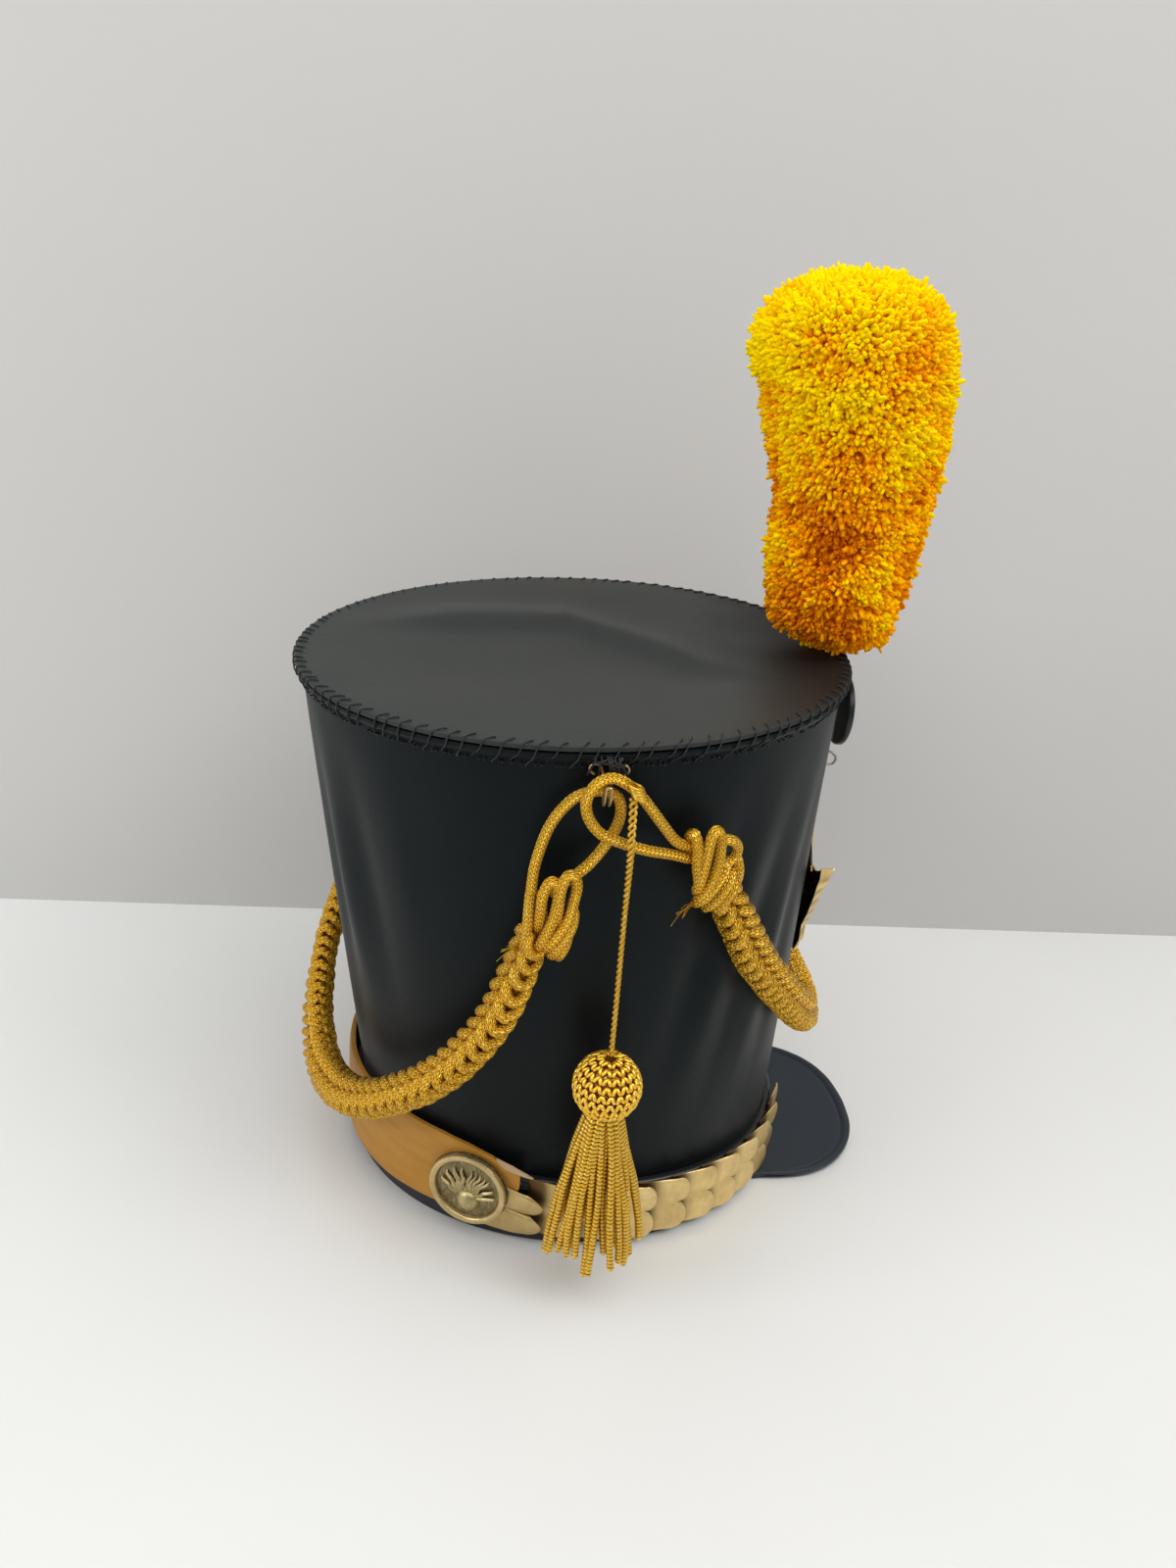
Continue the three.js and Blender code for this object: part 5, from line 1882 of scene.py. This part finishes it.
def dress_wires():
    """The stem and the small loop keep their CAD shape and get a worn wire finish."""
    for node in ("plume_stem", "cockade_loop"):
        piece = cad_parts[node]
        piece.data.materials.clear()
        piece.data.materials.append(finish("steel_wire"))


# ---- stage, in metres ----

STAGE_SIZE = 6.0
WALL_NEAR, WALL_FAR, WALL_MIDDLE = (0.188, 0.350, 0), (0.205, -0.445, 0), 2.99
ROOM_COLOUR, ROOM_STRENGTH = (0.95, 0.97, 1.0, 1), 0.30
# Soft lights: name, place, aim, size, power in watts, colour.
LIGHTS = (
    ("ceiling", (-0.42, -0.3, 2.1), (0.02, 0, 0.1), (3.2, 3.2), 66.0, (1.0, 0.985, 0.96)),
    ("key", (-0.75, -1.15, 1.6), (0, 0, 0.15), (0.7, 0.7), 7.0, (1.0, 0.985, 0.955)),
    ("side_window", (-0.7, 1.5, 0.9), (0.1, 0, 0.15), (0.9, 1.0), 12.0, (0.97, 0.985, 1.0)),
)


def build_camera():
    data = bpy.data.cameras.new("view")
    data.lens = CAMERA_LENS
    data.sensor_width = CAMERA_SENSOR
    data.clip_start = 0.01
    camera = bpy.data.objects.new("view", data)
    turn = turned(Vector(CAMERA_RIGHT), Vector(CAMERA_UP), -Vector(CAMERA_VIEW))
    camera.matrix_world = Matrix.Translation(placed(CAMERA_PLACE)) @ turn
    bpy.context.collection.objects.link(camera)
    bpy.context.scene.camera = camera


def area_light(name, place, aim, size, power, colour):
    data = bpy.data.lights.new(name, "AREA")
    data.shape = "RECTANGLE"
    data.size, data.size_y = size
    data.energy = power
    data.color = colour
    light = bpy.data.objects.new(name, data)
    light.location = place
    light.rotation_euler = (Vector(aim) - Vector(place)).to_track_quat("-Z", "Y").to_euler()
    bpy.context.collection.objects.link(light)


def build_stage():
    """A white table, a pale grey wall behind it, and soft light from above."""
    clear_selection()
    bpy.ops.mesh.primitive_plane_add(size=STAGE_SIZE, location=(0, 0, 0))
    table = named("table", "table_white")
    clear_selection()
    bpy.ops.mesh.primitive_plane_add(size=STAGE_SIZE)
    wall = named("wall", "wall_grey")
    near, far = Vector(WALL_NEAR), Vector(WALL_FAR)
    up = Vector((0, 0, 1))
    along = (far - near).normalized()
    turn = turned(along, up, up.cross(along))
    wall.data.transform(Matrix.Translation(near + up * WALL_MIDDLE) @ turn)
    world = bpy.data.worlds.new("room")
    world.use_nodes = True
    background = world.node_tree.nodes["Background"]
    background.inputs["Color"].default_value = ROOM_COLOUR
    background.inputs["Strength"].default_value = ROOM_STRENGTH
    bpy.context.scene.world = world
    bpy.context.scene.view_settings.view_transform = "Standard"
    for light in LIGHTS:
        area_light(*light)


# ---- operators and panel ----


class SHAKO_OT_stage(bpy.types.Operator):
    """Sets the camera, the table, the wall and the soft lights"""

    bl_idname = "shako.stage"
    bl_label = "Stage"

    def execute(self, context):
        build_camera()
        build_stage()
        return {"FINISHED"}


class SHAKO_OT_festoons(bpy.types.Operator):
    """Plaits both festoons, with their loops and knots"""

    bl_idname = "shako.festoons"
    bl_label = "Festoons"

    def execute(self, context):
        build_festoons()
        return {"FINISHED"}


class SHAKO_OT_tassel(bpy.types.Operator):
    """Makes the hanging cord with its ball and coiled strands"""

    bl_idname = "shako.tassel"
    bl_label = "Tassel"

    def execute(self, context):
        build_tassel()
        return {"FINISHED"}


class SHAKO_OT_body(bpy.types.Operator):
    """Raises the flared leather wall with its lip and soft folds"""

    bl_idname = "shako.body"
    bl_label = "Body"

    def execute(self, context):
        build_body()
        return {"FINISHED"}


class SHAKO_OT_crown(bpy.types.Operator):
    """Lays the round top sheet with its ridge and dent"""

    bl_idname = "shako.crown"
    bl_label = "Crown"

    def execute(self, context):
        build_crown()
        return {"FINISHED"}


class SHAKO_OT_crown_stitches(bpy.types.Operator):
    """Sews the whip stitches round the crown's edge"""

    bl_idname = "shako.crown_stitches"
    bl_label = "Crown stitches"

    def execute(self, context):
        build_crown_stitches()
        return {"FINISHED"}


class SHAKO_OT_base_band(bpy.types.Operator):
    """Wraps the ridged band round the base"""

    bl_idname = "shako.base_band"
    bl_label = "Base band"

    def execute(self, context):
        build_band()
        return {"FINISHED"}


class SHAKO_OT_peak(bpy.types.Operator):
    """Shapes the embossed leather peak"""

    bl_idname = "shako.peak"
    bl_label = "Peak"

    def execute(self, context):
        build_peak()
        return {"FINISHED"}


class SHAKO_OT_strap(bpy.types.Operator):
    """Lays the tan strap round the back, with its two tongues"""

    bl_idname = "shako.strap"
    bl_label = "Back strap"

    def execute(self, context):
        build_strap()
        return {"FINISHED"}


class SHAKO_OT_chin_scales(bpy.types.Operator):
    """Presses the lobed plates of both chin scales"""

    bl_idname = "shako.chin_scales"
    bl_label = "Chin scales"

    def execute(self, context):
        build_scales()
        return {"FINISHED"}


class SHAKO_OT_bosses(bpy.types.Operator):
    """Turns the boss on each side and its raised device"""

    bl_idname = "shako.bosses"
    bl_label = "Bosses"

    def execute(self, context):
        build_boss()
        return {"FINISHED"}


class SHAKO_OT_front_plate(bpy.types.Operator):
    """Presses the winged brass plate"""

    bl_idname = "shako.front_plate"
    bl_label = "Front plate"

    def execute(self, context):
        build_front_plate()
        return {"FINISHED"}


class SHAKO_OT_cockade(bpy.types.Operator):
    """Turns the pleated cockade"""

    bl_idname = "shako.cockade"
    bl_label = "Cockade"

    def execute(self, context):
        build_cockade()
        return {"FINISHED"}


class SHAKO_OT_plume(bpy.types.Operator):
    """Fills the plume with tufts of wool"""

    bl_idname = "shako.plume"
    bl_label = "Plume"

    def execute(self, context):
        build_plume()
        return {"FINISHED"}


class SHAKO_OT_hooks(bpy.types.Operator):
    """Bends the wire hooks and lashes them to the leather"""

    bl_idname = "shako.hooks"
    bl_label = "Hooks"

    def execute(self, context):
        build_hooks()
        return {"FINISHED"}


class SHAKO_OT_wires(bpy.types.Operator):
    """Gives the stem and the small loop their worn wire finish"""

    bl_idname = "shako.wires"
    bl_label = "Wires"

    def execute(self, context):
        dress_wires()
        return {"FINISHED"}


OPERATORS = (
    SHAKO_OT_stage,
    SHAKO_OT_festoons,
    SHAKO_OT_tassel,
    SHAKO_OT_body,
    SHAKO_OT_crown,
    SHAKO_OT_crown_stitches,
    SHAKO_OT_base_band,
    SHAKO_OT_peak,
    SHAKO_OT_strap,
    SHAKO_OT_chin_scales,
    SHAKO_OT_bosses,
    SHAKO_OT_front_plate,
    SHAKO_OT_cockade,
    SHAKO_OT_plume,
    SHAKO_OT_hooks,
    SHAKO_OT_wires,
)


class SHAKO_PT_panel(bpy.types.Panel):
    """Lists the hat's settings and the operators that build its pieces"""

    bl_idname = "SHAKO_PT_panel"
    bl_label = "Leather Shako"
    bl_space_type = "VIEW_3D"
    bl_region_type = "UI"
    bl_category = "Shako"

    def draw(self, context):
        column = self.layout.column()
        for settings in (context.scene.shako_sizes, context.scene.shako_colours):
            for key in settings.bl_rna.properties.keys():
                if key not in {"rna_type", "name"}:
                    column.prop(settings, key)
        for kind in OPERATORS:
            column.operator(kind.bl_idname)


CLASSES = (ShakoSizes, ShakoColours, *OPERATORS, SHAKO_PT_panel)


def register():
    for kind in CLASSES:
        bpy.utils.register_class(kind)
    bpy.types.Scene.shako_sizes = PointerProperty(type=ShakoSizes)
    bpy.types.Scene.shako_colours = PointerProperty(type=ShakoColours)


def unregister():
    del bpy.types.Scene.shako_colours
    del bpy.types.Scene.shako_sizes
    for kind in reversed(CLASSES):
        bpy.utils.unregister_class(kind)


def main():
    register()
    for kind in OPERATORS:
        action = getattr(bpy.ops.shako, kind.bl_idname.split(".")[1])
        if action() != {"FINISHED"}:
            raise RuntimeError(kind.bl_label + " was not finished")


if __name__ == "__main__":
    main()
